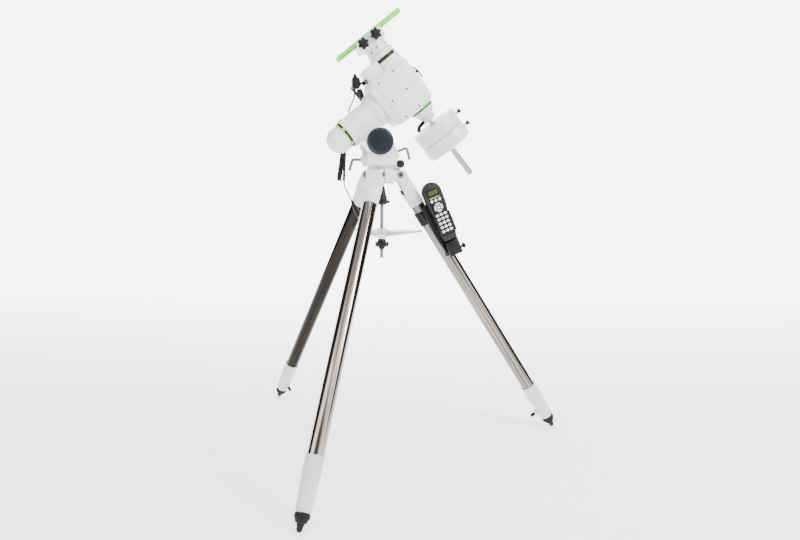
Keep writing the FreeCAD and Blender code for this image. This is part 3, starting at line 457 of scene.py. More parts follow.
def cord_curve(name, points, radius, local, body, *nodes):
    """Piece of one smooth open spline with the points as its control points."""
    data = bpy.data.curves.new(name, "CURVE")
    data.dimensions = "3D"
    data.resolution_u = 8
    data.bevel_depth = radius * MM
    data.bevel_resolution = 5
    data.use_fill_caps = True
    spline = data.splines.new("NURBS")
    spline.points.add(len(points) - 1)
    for target, point in zip(spline.points, points):
        target.co = (*(local @ Vector(point)), 1)
    spline.order_u = 3
    spline.use_endpoint_u = True
    data.materials.append(MATERIALS["cord_black"])
    curve = linked(name, data)
    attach(curve, body)
    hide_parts(*nodes)
    return curve


def make_cords():
    motor = cord_curve("dec_motor_cable", MOTOR_ROUTE, MOTOR_CORD_R, HEAD, "altitude", "motor_cord")
    route = [*POWER_ROUTE, *hank_points(), *POWER_TAIL]
    power = cord_curve("power_cable", route, POWER_CORD_R, WORLD, "azimuth", "power_cord", "power_hank")

# ---- mesh helpers

THREAD_ROWS = 4
SCALE_MARKS = 72
SHAFT_BORE_R = 9.1
SHARP_ANGLE = math.radians(32)


def soften(points, radius, steps=4, closed=False):
    """Replaces each corner of an outline with a short curve."""
    points = [Vector(point) for point in points]
    count = len(points)
    softened = []
    for index, corner in enumerate(points):
        if not closed and index in (0, count - 1):
            softened.append(corner)
            continue
        before = points[index - 1] - corner
        after = points[(index + 1) % count] - corner
        reach = min(radius, 0.46 * before.length, 0.46 * after.length)
        start = corner + before.normalized() * reach
        end = corner + after.normalized() * reach
        for step in range(steps + 1):
            t = step / steps
            softened.append(start * (1 - t) ** 2 + corner * 2 * t * (1 - t) + end * t ** 2)
    return softened


def lathe(profile, rounding=0.8, segments=64, closed=False):
    """Solid of revolution about local z from (radius, z) points; closed joins the last to the first."""
    outline = soften(profile, rounding, closed=closed) if rounding else [Vector(point) for point in profile]
    bm = bmesh.new()
    rings = []
    for radius, height in outline:
        if radius < 1e-4:
            rings.append([bm.verts.new((0, 0, height))])
            continue
        ring = []
        for step in range(segments):
            angle = 2 * math.pi * step / segments
            ring.append(bm.verts.new((radius * math.cos(angle), radius * math.sin(angle), height)))
        rings.append(ring)
    pairs = list(zip(rings, rings[1:]))
    if closed:
        pairs.append((rings[-1], rings[0]))
    for lower, upper in pairs:
        for step in range(segments):
            ahead = (step + 1) % segments
            corners = []
            for vertex in (lower[step % len(lower)], lower[ahead % len(lower)],
                           upper[ahead % len(upper)], upper[step % len(upper)]):
                if vertex not in corners:
                    corners.append(vertex)
            if len(corners) > 2:
                bm.faces.new(corners)
    bmesh.ops.recalc_face_normals(bm, faces=bm.faces)
    return bm


def turned(profile, rounding=0.8, segments=64):
    """Lathe of an outer profile only, with a flat end on each side."""
    return lathe([(0, profile[0][1]), *profile, (0, profile[-1][1])], rounding, segments)


def bevel_sharp(bm, width, segments=2, angle=0.5):
    edges = [edge for edge in bm.edges if len(edge.link_faces) == 2 and edge.calc_face_angle(0) > angle]
    bmesh.ops.bevel(bm, geom=edges, offset=width, segments=segments, profile=0.5, affect="EDGES",
                    clamp_overlap=True)


def skin(bm, rows):
    """Faces between rows of vertices that each close on themselves, and a cap on both ends."""
    for lower, upper in zip(rows, rows[1:]):
        for step in range(len(lower)):
            ahead = (step + 1) % len(lower)
            bm.faces.new((lower[step], lower[ahead], upper[ahead], upper[step]))
    bm.faces.new(list(reversed(rows[0])))
    bm.faces.new(rows[-1])


def prism(outline, low, high, edge=0.8, segments=2):
    """Outline of (x, y) points, extruded from z low to high, with its edges rounded."""
    bm = bmesh.new()
    base = bm.faces.new([bm.verts.new((point[0], point[1], low)) for point in outline])
    grown = bmesh.ops.extrude_face_region(bm, geom=[base])
    bmesh.ops.translate(bm, vec=(0, 0, high - low),
                        verts=[item for item in grown["geom"] if isinstance(item, bmesh.types.BMVert)])
    bmesh.ops.recalc_face_normals(bm, faces=bm.faces)
    if edge:
        bevel_sharp(bm, edge, segments)
    return bm


def brick(low, high, edge=1.0, segments=2):
    """Box between two corners with rounded edges."""
    outline = [(low[0], low[1]), (high[0], low[1]), (high[0], high[1]), (low[0], high[1])]
    return prism(outline, low[2], high[2], edge, segments)


def hexagon(radius):
    return arc_points((0, 0), radius, 0, 300, 5)


def around_z(index, count):
    """Turn to one of several equal places round local z."""
    return Matrix.Rotation(2 * math.pi * index / count, 4, "Z")


def moved(bm, matrix):
    bmesh.ops.transform(bm, matrix=matrix, verts=bm.verts)
    return bm


def facing(origin, direction, roll=0.0):
    """Matrix that takes local z to a direction and the origin to a place."""
    turn = Vector(direction).to_track_quat("Z", "Y").to_matrix().to_4x4()
    return Matrix.Translation(origin) @ turn @ Matrix.Rotation(roll, 4, "Z")


ALONG_X = facing((0, 0, 0), (1, 0, 0))
# Take an outline drawn in x and z, extruded in y. The second mirrors it, so its outlines run backwards.
UPRIGHT = Matrix(((1, 0, 0, 0), (0, 0, -1, 0), (0, 1, 0, 0), (0, 0, 0, 1)))
UPRIGHT_MIRRORED = Matrix(((1, 0, 0, 0), (0, 0, 1, 0), (0, 1, 0, 0), (0, 0, 0, 1)))


def mesh_of(bm, name):
    """Mesh data from a bmesh, which goes."""
    mesh = bpy.data.meshes.new(name)
    bm.to_mesh(mesh)
    bm.free()
    return mesh


def gathered(*parts):
    """Several meshes as one."""
    whole = bmesh.new()
    for part in parts:
        mesh = mesh_of(part, "part")
        whole.from_mesh(mesh)
        bpy.data.meshes.remove(mesh)
    return whole


def discard(thing):
    mesh = thing.data
    bpy.data.objects.remove(thing)
    bpy.data.meshes.remove(mesh)


def loose_object(bm, name="tool"):
    return linked(name, mesh_of(bm, name))


def with_modifiers(thing):
    """The mesh of an object with its modifiers applied, as a new bmesh; the object goes."""
    bpy.context.view_layer.update()
    shown = thing.evaluated_get(bpy.context.evaluated_depsgraph_get())
    bm = bmesh.new()
    bm.from_mesh(shown.to_mesh())
    shown.to_mesh_clear()
    discard(thing)
    return bm


def without(base, *tools):
    """A closed mesh with other closed meshes cut out of it."""
    thing = loose_object(base, "base")
    cutters = [loose_object(tool) for tool in tools]
    for cutter in cutters:
        modifier = thing.modifiers.new("boolean", "BOOLEAN")
        modifier.operation = "DIFFERENCE"
        modifier.solver = "EXACT"
        modifier.object = cutter
    result = with_modifiers(thing)
    for cutter in cutters:
        discard(cutter)
    return result


def cast(bm, voxel=1.6, rounds=5):
    """One skin over overlapping solids, with the soft inner corners of a casting."""
    thing = loose_object(bm, "cast")
    remesh = thing.modifiers.new("skin", "REMESH")
    remesh.mode = "VOXEL"
    remesh.voxel_size = voxel
    smooth = thing.modifiers.new("soft", "SMOOTH")
    smooth.factor = 0.5
    smooth.iterations = rounds
    return with_modifiers(thing)


def built(name, bm, local, body, material, nodes=()):
    """Finished piece: into the model's frame, shaded, riding on its body."""
    mesh = mesh_of(bm, name)
    mesh.transform(local)
    mesh.materials.clear()
    mesh.materials.append(MATERIALS[material])
    mesh.polygons.foreach_set("use_smooth", [True] * len(mesh.polygons))
    mesh.set_sharp_from_angle(angle=SHARP_ANGLE)
    piece = linked(name, mesh)
    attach(piece, body)
    if nodes:
        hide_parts(*nodes)
    return piece


def casting(name, node, local, body, voxel, rounds, material="white_paint"):
    """A cast part over its CAD node, painted, with the node's own shape."""
    shape = cast(node_mesh(node, local), voxel, rounds)
    built(name, shape, local, body, material, [node])


def cylinder(radius, low, high, rounding=0.8, segments=48):
    return turned([(radius, low), (radius, high)], rounding, segments)


def ring(outer, inner, low, high, rounding=0.6, segments=64):
    return lathe([(inner, low), (outer, low), (outer, high), (inner, high)], rounding, segments, closed=True)


def rod_between(start, end, radius, rounding=0.6, segments=24):
    run = Vector(end) - Vector(start)
    return moved(cylinder(radius, 0, run.length, rounding, segments), facing(start, run))


def taper_between(start, end, radius_start, radius_end, rounding=0.6, segments=32):
    run = Vector(end) - Vector(start)
    shape = turned([(radius_start, 0), (radius_end, run.length)], rounding, segments)
    return moved(shape, facing(start, run))


def arc_points(centre, radius, start, end, steps=12):
    """Points on an arc, angles in degrees."""
    points = []
    for step in range(steps + 1):
        angle = math.radians(start + (end - start) * step / steps)
        points.append((centre[0] + radius * math.cos(angle), centre[1] + radius * math.sin(angle)))
    return points


def star_outline(radius, lobes, dip=0.2, steps=14):
    """Hand-knob outline: rounded lobes with hollows between them."""
    points = []
    for step in range(lobes * steps):
        angle = 2 * math.pi * step / (lobes * steps)
        wave = 0.5 + 0.5 * math.cos(lobes * angle)
        points.append((radius * (1 - dip + dip * wave ** 0.7) * math.cos(angle),
                       radius * (1 - dip + dip * wave ** 0.7) * math.sin(angle)))
    return points


def socket_screw(radius, height):
    """Cap screw head on local z with a hexagon socket."""
    body = cylinder(radius, -0.6, height, 0.35, 32)
    return without(body, prism(hexagon(radius * 0.52), height * 0.35, height + 1, 0))


def thread(radius, pitch, depth, low, high, segments=20):
    """Threaded rod on local z: a real helix, closed at both ends."""
    bm = bmesh.new()
    rows = []
    count = int((high - low) / pitch * THREAD_ROWS)
    for row in range(count + 1):
        height = low + (high - low) * row / count
        line = []
        for step in range(segments):
            share = step / segments
            wave = (height / pitch - share) % 1.0
            size = radius - depth * abs(2 * wave - 1)
            angle = 2 * math.pi * share
            line.append(bm.verts.new((size * math.cos(angle), size * math.sin(angle), height)))
        rows.append(line)
    skin(bm, rows)
    return bm


def screw_thread(length, start=0.0):
    """Thread of a small hand screw, behind its head on local z."""
    return thread(3.9, 1.4, 0.5, -length, -start)


def node_mesh(node, local):
    """A CAD node's mesh in local millimetres, with its seams closed."""
    bm = bmesh.new()
    bm.from_mesh(frame["nodes"][node].data)
    bmesh.ops.remove_doubles(bm, verts=bm.verts, dist=2e-6)
    bmesh.ops.transform(bm, matrix=local.inverted(), verts=bm.verts)
    return bm


# ---- tripod


def make_hub():
    casting("hub_casting", "hub", WORLD, "tripod_head", 1.3, 4)


# Vertices nearer than this to a leg's hinge belong to its bolt
BOLT_ZONE = 40


def make_hinge_bolts():
    """Socket-head bolt through each leg hinge, with its washer and nut, and a black disc at the foot of its
    socket: painted shade.
    """
    points = [vertex.co for vertex in frame["nodes"]["hinge_bolts"].data.vertices]
    socket_shades = []
    for number, leg in LEGS.items():
        local = [leg.inverted() @ point for point in points]
        reach = max(point.y for point in local if point.length < BOLT_ZONE)
        key = prism(hexagon(3.6), 2.4, 7, 0)
        head = without(turned([(7.4, 0), (7.4, 4.6), (6.2, 6.0)], 0.5, 40), key)
        nut = prism(hexagon(7.6), 1.2, 5.4, 0.5)
        tail = cylinder(3.9, 1, 6.4, 0.5, 24)
        shank = rod_between((0, -reach + 3, 0), (0, reach - 3, 0), 3.9)
        near_place = facing((0, -reach + 6.0, 0), (0, -1, 0))
        near = moved(gathered(head, ring(9.4, 4.2, -0.2, 1.2, 0.3, 40)), near_place)
        far_place = facing((0, reach - 6.4, 0), (0, 1, 0))
        far = moved(gathered(nut, tail, ring(9.4, 4.2, -0.2, 1.2, 0.3, 40)), far_place)
        built(f"hinge_bolt_{number}", gathered(near, far, shank), leg, "tripod_head", "bolt_grey",
              ["hinge_bolts"] if number == 1 else [])
        # Black disc at the foot of the hexagon socket: painted shade in the hole
        socket_shades.append(moved(moved(cylinder(3.5, 2.0, 3.2, 0, 24), near_place), WORLD.inverted() @ leg))
    built("hinge_bolt_sockets", gathered(*socket_shades), WORLD, "tripod_head", "black_plastic")


def make_leg(number):
    leg = LEGS[number]
    body = f"leg_{number}"
    low, high = span(f"leg_tube_{number}", leg)
    radius = high.x
    casting(f"upper_casting_{number}", f"leg_socket_{number}", leg, body, 1.2, 5)
    lip = ring(radius + 2.2, radius - 0.6, high.z - 0.6, high.z + 5.5, 1.6, 72)
    seam = ring(radius + 2.9, radius - 0.6, high.z + 8.5, high.z + 11, 1.0, 72)
    built(f"socket_lip_{number}", gathered(lip, seam), leg, body, "white_paint")
    steel = ring(radius, radius - 1.6, low.z, high.z, 0.3, 96)
    built(f"outer_tube_{number}", steel, leg, body, f"steel_tube_{number}",
          [f"leg_tube_{number}"])
    stop = brick((-24.5, -6, -61), (-18, 6, -43.5), 1.6, 3)
    stop_screw = moved(socket_screw(3.2, 2.0), facing((-24.5, 0, -52), (-1, 0, 0)))
    built(f"fold_stop_{number}", gathered(stop, stop_screw), leg, body, "black_plastic")
    make_lower_leg(number)


def make_lower_leg(number):
    leg = LEGS[number]
    body = f"leg_{number}"
    low, high = span(f"leg_clamp_{number}", leg)
    # Lower castings and trim in a darker copy of the white paint: painted shade
    casting(f"lower_casting_{number}", f"leg_clamp_{number}", leg, body, 1.2, 5, "foot_paint")
    trim = ring(25.3, 21.9, high.z - 3.0, high.z + 1.6, 1.2, 72)
    built(f"lower_trim_{number}", trim, leg, body, "foot_paint")
    foot_low, foot_high = span(f"leg_foot_{number}", leg)
    make_foot(number, low.z, foot_low.z, foot_high.z)
    make_clamp_screw(number)


def make_foot(number, collar_top, tip, tube_top):
    """Black collar and cone with grip rings, on the bright inner tube."""
    leg = LEGS[number]
    body = f"foot_{number}"
    inner = ring(16.5, 15.0, collar_top - 0.3, tube_top, 0.3, 64)
    built(f"inner_tube_{number}", inner, leg, body, f"steel_tube_{number}",
          [f"leg_foot_{number}"])
    top = collar_top - 0.4
    cone = top - 14
    end = tip + 7.3
    profile = [(0, top), (19.4, top), (20, top - 2), (19.6, cone + 1), (17.2, cone), (15.2, cone - 8),
               (9.6, end + 13), (9.4, end + 8), (8.3, end + 7), (7.6, end)]
    profile += [(7.4 * math.cos(a), end - 7.4 * math.sin(a)) for a in (0.4, 0.8, 1.2)] + [(0, end - 7.4)]
    foot = lathe(profile, 0.7, 56)
    grips = [ring(radius, radius - 2.2, top - drop - 0.9, top - drop + 0.9, 0.6, 56)
             for radius, drop in ((20.4, 4), (20.3, 8), (20.2, 12))]
    built(f"foot_{number}_rubber", gathered(foot, *grips), leg, body, "black_rubber")


def wing(width, height, thick):
    """Thumb screw head on local z: two ears flaring from a round hub."""
    half = [(0.5, 0.55), (0.46, 1), (0.2, 0.82)]
    crown = [(-width * x, height * y) for x, y in half] + [(0, height * 0.62)]
    crown += [(width * x, height * y) for x, y in reversed(half)]
    outline = crown + [(thick * 0.8, height * 0.05), (-thick * 0.8, height * 0.05)]
    outline = soften([(x, y, 0) for x, y in outline], 3.5, 5, closed=True)
    ears = prism([(p.x, p.y) for p in outline], -thick * 0.36, thick * 0.36, thick * 0.24, 3)
    hub = [(0, -3), (thick * 0.72, -3), (thick * 0.8, 0), (thick * 0.6, height * 0.55), (0, height * 0.6)]
    hub = lathe(hub, 0.8, 36)
    return gathered(moved(ears, UPRIGHT), hub)


def make_clamp_screw(number):
    leg = LEGS[number]
    body = f"clamp_screw_{number}"
    low, high = span(body, leg)
    middle = (low + high) / 2
    head = low.x + 15
    place = (head, middle.y, middle.z)
    screw = moved(wing(high.y - low.y, 14.6, 7.0), facing(place, (-1, 0, 0), math.pi / 2))
    built(f"wing_{number}", screw, leg, body, "black_plastic", nodes=[body])
    shank = moved(thread(3.8, 1.4, 0.5, -(high.x - head), 0), facing(place, (-1, 0, 0)))
    built(f"clamp_thread_{number}", shank, leg, body, "steel")


def make_rod_and_spreader():
    low, high = span("mount_screw", WORLD)
    rod = thread(6.0, 1.75, 0.55, low.z, high.z, 24)
    built("threaded_rod", rod, WORLD, "mount_screw", "dark_rod", nodes=["mount_screw"])
    grip = low.z + 168
    knob = turned([(13.5, grip), (16.5, grip + 7), (17, grip + 17), (13.4, grip + 30), (8.4, grip + 57)],
                  1.6, 48)
    arms = []
    for index in range(3):
        angle = 2 * math.pi * index / 3
        end = (25.2 * math.cos(angle), 25.2 * math.sin(angle), grip + 9)
        arms.append(taper_between((0, 0, grip + 9), end, 5.4, 4.6, 2.2))
    built("pull_handle", gathered(knob, *arms), WORLD, "mount_screw", "black_plastic")
    make_spreader()
    knob_low, knob_high = span("spreader_knob", WORLD)
    base = knob_low.z + 8
    star = prism(star_outline(22.8, 5, 0.34), base, base + 14, 2.4, 3)
    hub = turned([(9.6, base - 8), (10.6, base - 1), (10.6, base + 12), (14.6, base + 14),
                 (11, knob_high.z)], 0.8, 40)
    built("spreader_star", gathered(star, hub), WORLD, "spreader_knob", "black_plastic",
          nodes=["spreader_knob"])


def make_spreader():
    """Cast plate with three tapering arms, deep rims and a long central boss."""
    low, high = span("spreader", WORLD)
    tip = high.x
    level = joint_place("spreader_turn").z / MM
    floor = level - 3
    half_arm = [(22, -26), (tip - 40, -12.5), (tip - 8, -8), (tip - 1, -4.5)]
    arm = half_arm + [(x, -y) for x, y in reversed(half_arm)]
    outline = [around_z(index, 3) @ Vector((x, y, 0)) for index in range(3) for x, y in arm]
    outline = soften(outline, 9, 5, closed=True)
    plate = prism([(p.x, p.y) for p in outline], floor, floor + 4, 0.8)
    parts = []
    for index in range(3):
        turn = around_z(index, 3)
        window = soften([(46, -8, 0), (tip - 36, -6, 0), (tip - 36, 6, 0), (46, 8, 0)], 4, 4, closed=True)
        hole = prism([(p.x, p.y) for p in window], floor - 2, floor + 8, 0)
        plate = without(plate, moved(hole, turn))
        for side in (-1, 1):
            web = [(10, level - 19), (tip - 8, level - 6), (tip - 8, level - 1), (10, level - 1)]
            rim = moved(prism(web, -1.1, 1.1, 0.4), UPRIGHT)
            aim = Matrix.Translation((0, side * 16, 0)) @ Matrix.Rotation(-side * math.radians(5.6), 4, "Z")
            parts.append(moved(rim, turn @ aim))
        pad_outline = soften_flat([(tip - 10, -7), (tip - 1.2, -5), (tip - 1.2, 5), (tip - 10, 7)], 2.5)
        parts.append(moved(prism(pad_outline, floor - 3, floor + 4.2, 0.7), turn))
    boss = [(6.6, low.z), (12.4, low.z), (15, low.z + 12), (15, high.z), (6.6, high.z)]
    boss = lathe(boss, 1.2, 56, closed=True)
    rim = ring(24, 20.5, floor - 9, floor + 5, 0.8, 64)
    built("spreader_plate", gathered(plate, boss, rim, *parts), WORLD, "spreader", "light_alloy",
          nodes=["spreader"])


def soften_flat(points, radius):
    return [(p.x, p.y) for p in soften([(x, y, 0) for x, y in points], radius, 4, closed=True)]


# ---- azimuth base and yoke


def make_base():
    casting("yoke_casting", "az_base", WORLD, "azimuth", 1.3, 5)
    foot = span("az_base", WORLD)[0].z
    built("base_rings", ring(47.4, 44, foot, foot + 3.4, 1.0, 96), WORLD, "azimuth", "white_paint")
    make_cap()
    for side, name in ((-1, "near"), (1, "far")):
        body = f"az_knob_{name}"
        knob_low, knob_high = span(body, WORLD)
        middle = (knob_low + knob_high) / 2
        face = knob_low.y if side < 0 else knob_high.y
        head = prism(star_outline(12.4, 12, 0.1, 6), -13, -0.6, 1.2, 2)
        disc = turned([(9.4, -1.4), (9.4, 0), (8.2, 0.2)], 0.4, 40)
        collar = turned([(7.6, -19), (8.2, -13)], 0.6, 36)
        place = facing((middle.x, face, middle.z), (0, side, 0))
        grip = moved(gathered(head, disc, collar), place)
        built(f"az_grip_{name}", grip, WORLD, body, "cap_plastic", [body])
        shank = moved(screw_thread(49, 18), place)
        built(f"az_thread_{name}", shank, WORLD, body, "steel")


def make_cap():
    """Round dark cap with a plain stepped face in a thin bright rim, and the far end of the pivot."""
    low, high = span("pivot_cap", WORLD)
    middle = (low + high) / 2
    radius = (high.x - low.x) / 2
    depth = high.y - low.y
    place = facing((middle.x, high.y, middle.z), (0, -1, 0))
    cap = lathe([(0, 0), (radius, 0), (radius, depth - 7), (radius - 1.5, depth - 3),
                 (radius - 5, depth - 1.4), (radius - 6.4, depth - 2.1), (radius - 8, depth - 0.8),
                 (0, depth)], 1.6, 96)
    built("round_cap", moved(cap, place), WORLD, "azimuth", "cap_plastic", nodes=["pivot_cap"])
    rim = ring(radius + 2.4, radius + 0.1, 0, 3.4, 0.8, 96)
    built("cap_rim", moved(rim, place), WORLD, "azimuth", "white_paint")
    pin_low, pin_high = span("pivot_pin", WORLD)
    far = facing((middle.x, pin_high.y - 9, middle.z), (0, 1, 0))
    nut = prism(soften_flat(hexagon(15), 1.5), 1, 9, 1.0)
    washer = ring(19, 8, -0.2, 1.8, 0.5, 56)
    pin = rod_between((middle.x, pin_low.y, middle.z), (middle.x, pin_high.y - 1, middle.z), 7.9)
    built("pivot_bolt", gathered(moved(gathered(nut, washer), far), pin), WORLD, "azimuth", "steel",
          nodes=["pivot_pin"])


def make_lat_bolts():
    """Bent-handle bolts that push the latitude lug from both sides."""
    for name in ("front", "rear"):
        body = f"lat_bolt_{name}"
        axis = joint_axis(f"{body}_feed")
        low, high = span(body, WORLD)
        points = [vertex.co / MM for vertex in frame["nodes"][body].data.vertices]
        nearest = min(point.dot(axis) for point in points)
        farthest = max(point.dot(axis) for point in points if point.z > high.z - 18)
        tips = [point for point in points if abs(point.dot(axis) - nearest) < 0.1]
        start = sum(tips, Vector()) / len(tips)
        bend = start + axis * (farthest - start.dot(axis) - 4)
        handle = Vector((high.x - 4 if axis.x > 0 else low.x + 4, 0, low.z + 4))
        route = soften([start, bend, handle], 7, 8)
        built(f"{body}_rod", bent_rod(route, 4.4), WORLD, body, "bolt_grey", [body])
        threaded = moved(thread(5.0, 1.5, 0.6, 0, max((bend - start).length - 30, 20)), facing(start, axis))
        built(f"{body}_thread", threaded, WORLD, body, "bolt_grey")


def bent_rod(route, radius, segments=20):
    """Round bar along points, with domed ends."""
    bm = bmesh.new()
    rows = []
    last = len(route) - 1
    side = Vector((0, 1, 0))
    for index, point in enumerate(route):
        ahead = (route[min(index + 1, last)] - route[max(index - 1, 0)]).normalized()
        up = ahead.cross(side).normalized()
        rows.append([bm.verts.new(point + (side * math.cos(a) + up * math.sin(a)) * radius)
                     for a in (2 * math.pi * step / segments for step in range(segments))])
    skin(bm, rows)
    bmesh.ops.recalc_face_normals(bm, faces=bm.faces)
    bevel_sharp(bm, radius * 0.5, 3, 1.0)
    return bm

# ---- polar axis

DOME_R = 40
DOME_BORE_R = 27


def make_polar_axis():
    casting("polar_housing", "ra_housing", HEAD, "altitude", 1.3, 5)
    flange = span("ra_housing", HEAD)[1].x
    ring_low, ring_high = span("ra_circle", HEAD)
    lip = moved(ring(48.4, 44, 0, 3.0, 1.0, 96), facing((ring_high.x + 0.2, 0, 0), (1, 0, 0)))
    built("housing_lip", lip, HEAD, "altitude", "white_paint")
    seam = moved(ring(54.4, 50, 0, 2.4, 0.8, 96), facing((flange - 4, 0, 0), (1, 0, 0)))
    built("housing_front_ring", seam, HEAD, "altitude", "white_paint")
    make_scale_ring(ring_low.x, ring_high.x, ring_high.y)
    make_dome(span("polar_cap", HEAD)[0].x, ring_low.x - 0.3)
    make_ra_lever()


def make_scale_ring(start, end, radius):
    """Pale green ring with dark engraved bands between two bright edges, and marks every five degrees."""
    face = moved(ring(radius - 0.5, 30, 0, end - start, 0.5, 128), facing((start, 0, 0), (1, 0, 0)))
    built("polar_scale", face, HEAD, "ra_circle", "green_anodised", nodes=["ra_circle"])
    middle = (start + end) / 2
    half = (end - start) / 2 - 1.4
    bands = []
    gaps = []
    for index in range(5):
        begin = 72 * index + 20
        for pieces, first, last in ((bands, begin, begin + 56), (gaps, begin + 57, begin + 71)):
            outline = arc_points((0, 0), radius, first, last, 24)
            outline += arc_points((0, 0), radius - 2, last, first, 24)
            pieces.append(prism(outline, -half, half, 0))
    across = facing((middle, 0, 0), (1, 0, 0))
    bands = moved(gathered(*bands), across)
    built("polar_scale_bands", bands, HEAD, "ra_circle", "olive_dark")
    gaps = moved(gathered(*gaps), across)
    built("polar_scale_gaps", gaps, HEAD, "ra_circle", "pale_ring")
    marks = []
    for index in range(SCALE_MARKS):
        length = 2.4 if index % 6 == 0 else 1.4
        mark = brick((-0.3, radius - 0.3, -half), (0.3, radius + 0.12, length - half), 0)
        marks.append(moved(mark, across @ around_z(index, SCALE_MARKS)))
    built("polar_scale_marks", gathered(*marks), HEAD, "ra_circle", "pale_ring")


def make_dome(tip, face):
    """Screw-on dome over the rear of the polar axis, hollow, with a fine grip groove."""
    centre = tip + DOME_R
    profile = [(29.8, face + 8.5), (29.8, face), (39.2, face), (39.9, face - 2), (39.4, face - 3.4),
               (DOME_R, face - 4.6)]
    over = [(DOME_R, math.pi / 2 * step / 14) for step in range(15)]
    back_under = [(DOME_BORE_R, math.pi / 2 * step / 8) for step in range(8, -1, -1)]
    for radius, angle in over + back_under:
        profile.append((max(radius * math.cos(angle), 0), centre - radius * math.sin(angle)))
    profile.append((DOME_BORE_R, face + 8.5))
    dome = moved(lathe(profile, 0, 96, closed=True), ALONG_X)
    built("polar_dome", dome, HEAD, "polar_cap", "white_paint", nodes=["polar_cap"])


def make_ra_lever():
    low, high = span("ra_lever", HEAD)
    x = (HEAD.inverted() @ joint_place("ra_lever_turn")).x
    stem = rod_between((x, 0, low.z), (x, 0, 52), 4.9)
    grip = turned([(6.0, 0), (7.6, 8), (8.8, 22), (8.6, 30), (6.4, 33)], 2.0, 40)
    grip = moved(grip, facing((x, 0, 48), (9, 0, high.z - 48)))
    built("polar_clutch", gathered(stem, grip), HEAD, "ra_lever", "black_plastic", nodes=["ra_lever"])


# ---- declination axis


def make_dec_housing():
    casting("dec_casting", "dec_housing", HEAD, "ra_axis", 1.3, 5)
    casting("gear_cover", "dec_cover", HEAD, "ra_axis", 1.1, 4)
    make_side_plates()
    make_cover_details()
    make_dec_scales()
    make_dec_lever()


def make_side_plates():
    """Plate with six screws on both flanks of the housing, and the small raised panel beside it."""
    face = span("dec_housing", HEAD)[1].y
    outline = soften_flat([(-86, -60), (-64, -83), (-8, -83), (-8, 67), (-70, 67), (-86, 52)], 7)
    panel = soften_flat([(-103, -24), (-90, -24), (-90, 40), (-103, 40)], 3)
    screws = []
    plates = []
    for side in (-1, 1):
        local = Matrix(((1, 0, 0, 0), (0, 0, side, side * (face - 0.8)), (0, 1, 0, 0), (0, 0, 0, 1)))
        for shape, depth in ((outline, 0.0), (panel, -3.2)):
            points = shape if side < 0 else list(reversed(shape))
            plates.append(moved(prism(points, depth, depth + 1.6, 0.6, 2), local))
        for x in (-75, -17):
            for z in (-72, -9, 56):
                inset = 5 if z < -60 and x < -60 else 0
                seat = facing((x + inset, side * (face + 0.7), z), (0, side, 0), 0.4 * z)
                screws.append(moved(socket_screw(3.1, 1.5), seat))
    built("side_plates", gathered(*plates), HEAD, "ra_axis", "white_paint")
    built("side_plate_screws", gathered(*screws), HEAD, "ra_axis", "bolt_grey")


def make_cover_details():
    """Screws on the gear cover and the threaded socket beside it."""
    top = span("dec_cover", HEAD)[1].z
    screws = []
    for y in (-30, 30):
        for x in (-76, -52):
            screws.append(moved(socket_screw(2.6, 1.4), facing((x, y, top - 0.2), (0, 0, 1))))
    built("gear_cover_screws", gathered(*screws), HEAD, "ra_axis", "steel")
    nut = prism(soften_flat(hexagon(8.8), 0.8), 0, 5.5, 0.7)
    sleeve = turned([(6.0, 0), (6.0, 17.6), (4.8, 18.4), (4.8, 15)], 0.4, 36)
    ribs = [ring(7.4, 5.4, z, z + 1.5, 0.4, 36) for z in (7.4, 10.4, 13.4)]
    place = facing((-84.8, 0, 84), (-1, 0, 0))
    built("cable_socket", moved(gathered(nut, sleeve, *ribs), place), HEAD, "ra_axis", "black_plastic")


def make_dec_scales():
    """Setting circle behind its window, with marks, and the black and green ring at the nose joint."""
    low, high = span("dec_circle", HEAD)
    circle = ring(high.x, high.x - 5, low.z, high.z, 0.5, 128)
    built("dec_scale", circle, HEAD, "dec_circle", "olive_dark", ["dec_circle"])
    marks = []
    for index in range(SCALE_MARKS):
        length = 5.0 if index % 6 == 0 else 2.6
        mark = brick((high.x - 0.3, -0.25, low.z + 1), (high.x + 0.1, 0.25, low.z + 1 + length), 0)
        marks.append(moved(mark, around_z(index, SCALE_MARKS)))
    built("dec_scale_marks", gathered(*marks), HEAD, "dec_circle", "dark_green_print_and_painted_shade")
    joint = span("nose", HEAD)[1].z
    edges = [ring(38.9, 30, joint - 0.9, joint - 0.1, 0.2, 96),
             ring(38.7, 30, joint - 5.2, joint - 4.3, 0.2, 96)]
    built("nose_green_rings", gathered(*edges), HEAD, "dec_axis", "green_anodised")
    black = ring(38.6, 30, joint - 4.2, joint - 1.0, 0.3, 96)
    built("nose_dark_ring", black, HEAD, "dec_axis", "olive_dark")
    stud = moved(cylinder(4.6, -4, 1.6, 0.5, 32), facing((33, -28, -76), (0.55, -0.75, -0.35)))
    built("nose_side_screw", stud, HEAD, "ra_axis", "black_plastic")


def make_dec_lever():
    low, high = span("dec_lever", HEAD)
    axis = HEAD.inverted() @ joint_place("dec_lever_turn")
    radius = high.x
    outer = arc_points((0, 0), radius, -14, 26, 14)
    inner = arc_points((0, 0), radius - 3.2, 26, -14, 14)
    blade = moved(prism(outer + inner, -3.8, 3.8, 1.1, 3), UPRIGHT)
    stem = rod_between((low.x + 1, axis.y, axis.z), (radius - 2, axis.y, axis.z), 3.9)
    hub = taper_between((54, axis.y, axis.z), (radius - 2.5, axis.y, axis.z), 6, 4.4, 1.2)
    built("dec_clutch", gathered(blade, stem, hub), HEAD, "dec_lever", "black_plastic", nodes=["dec_lever"])


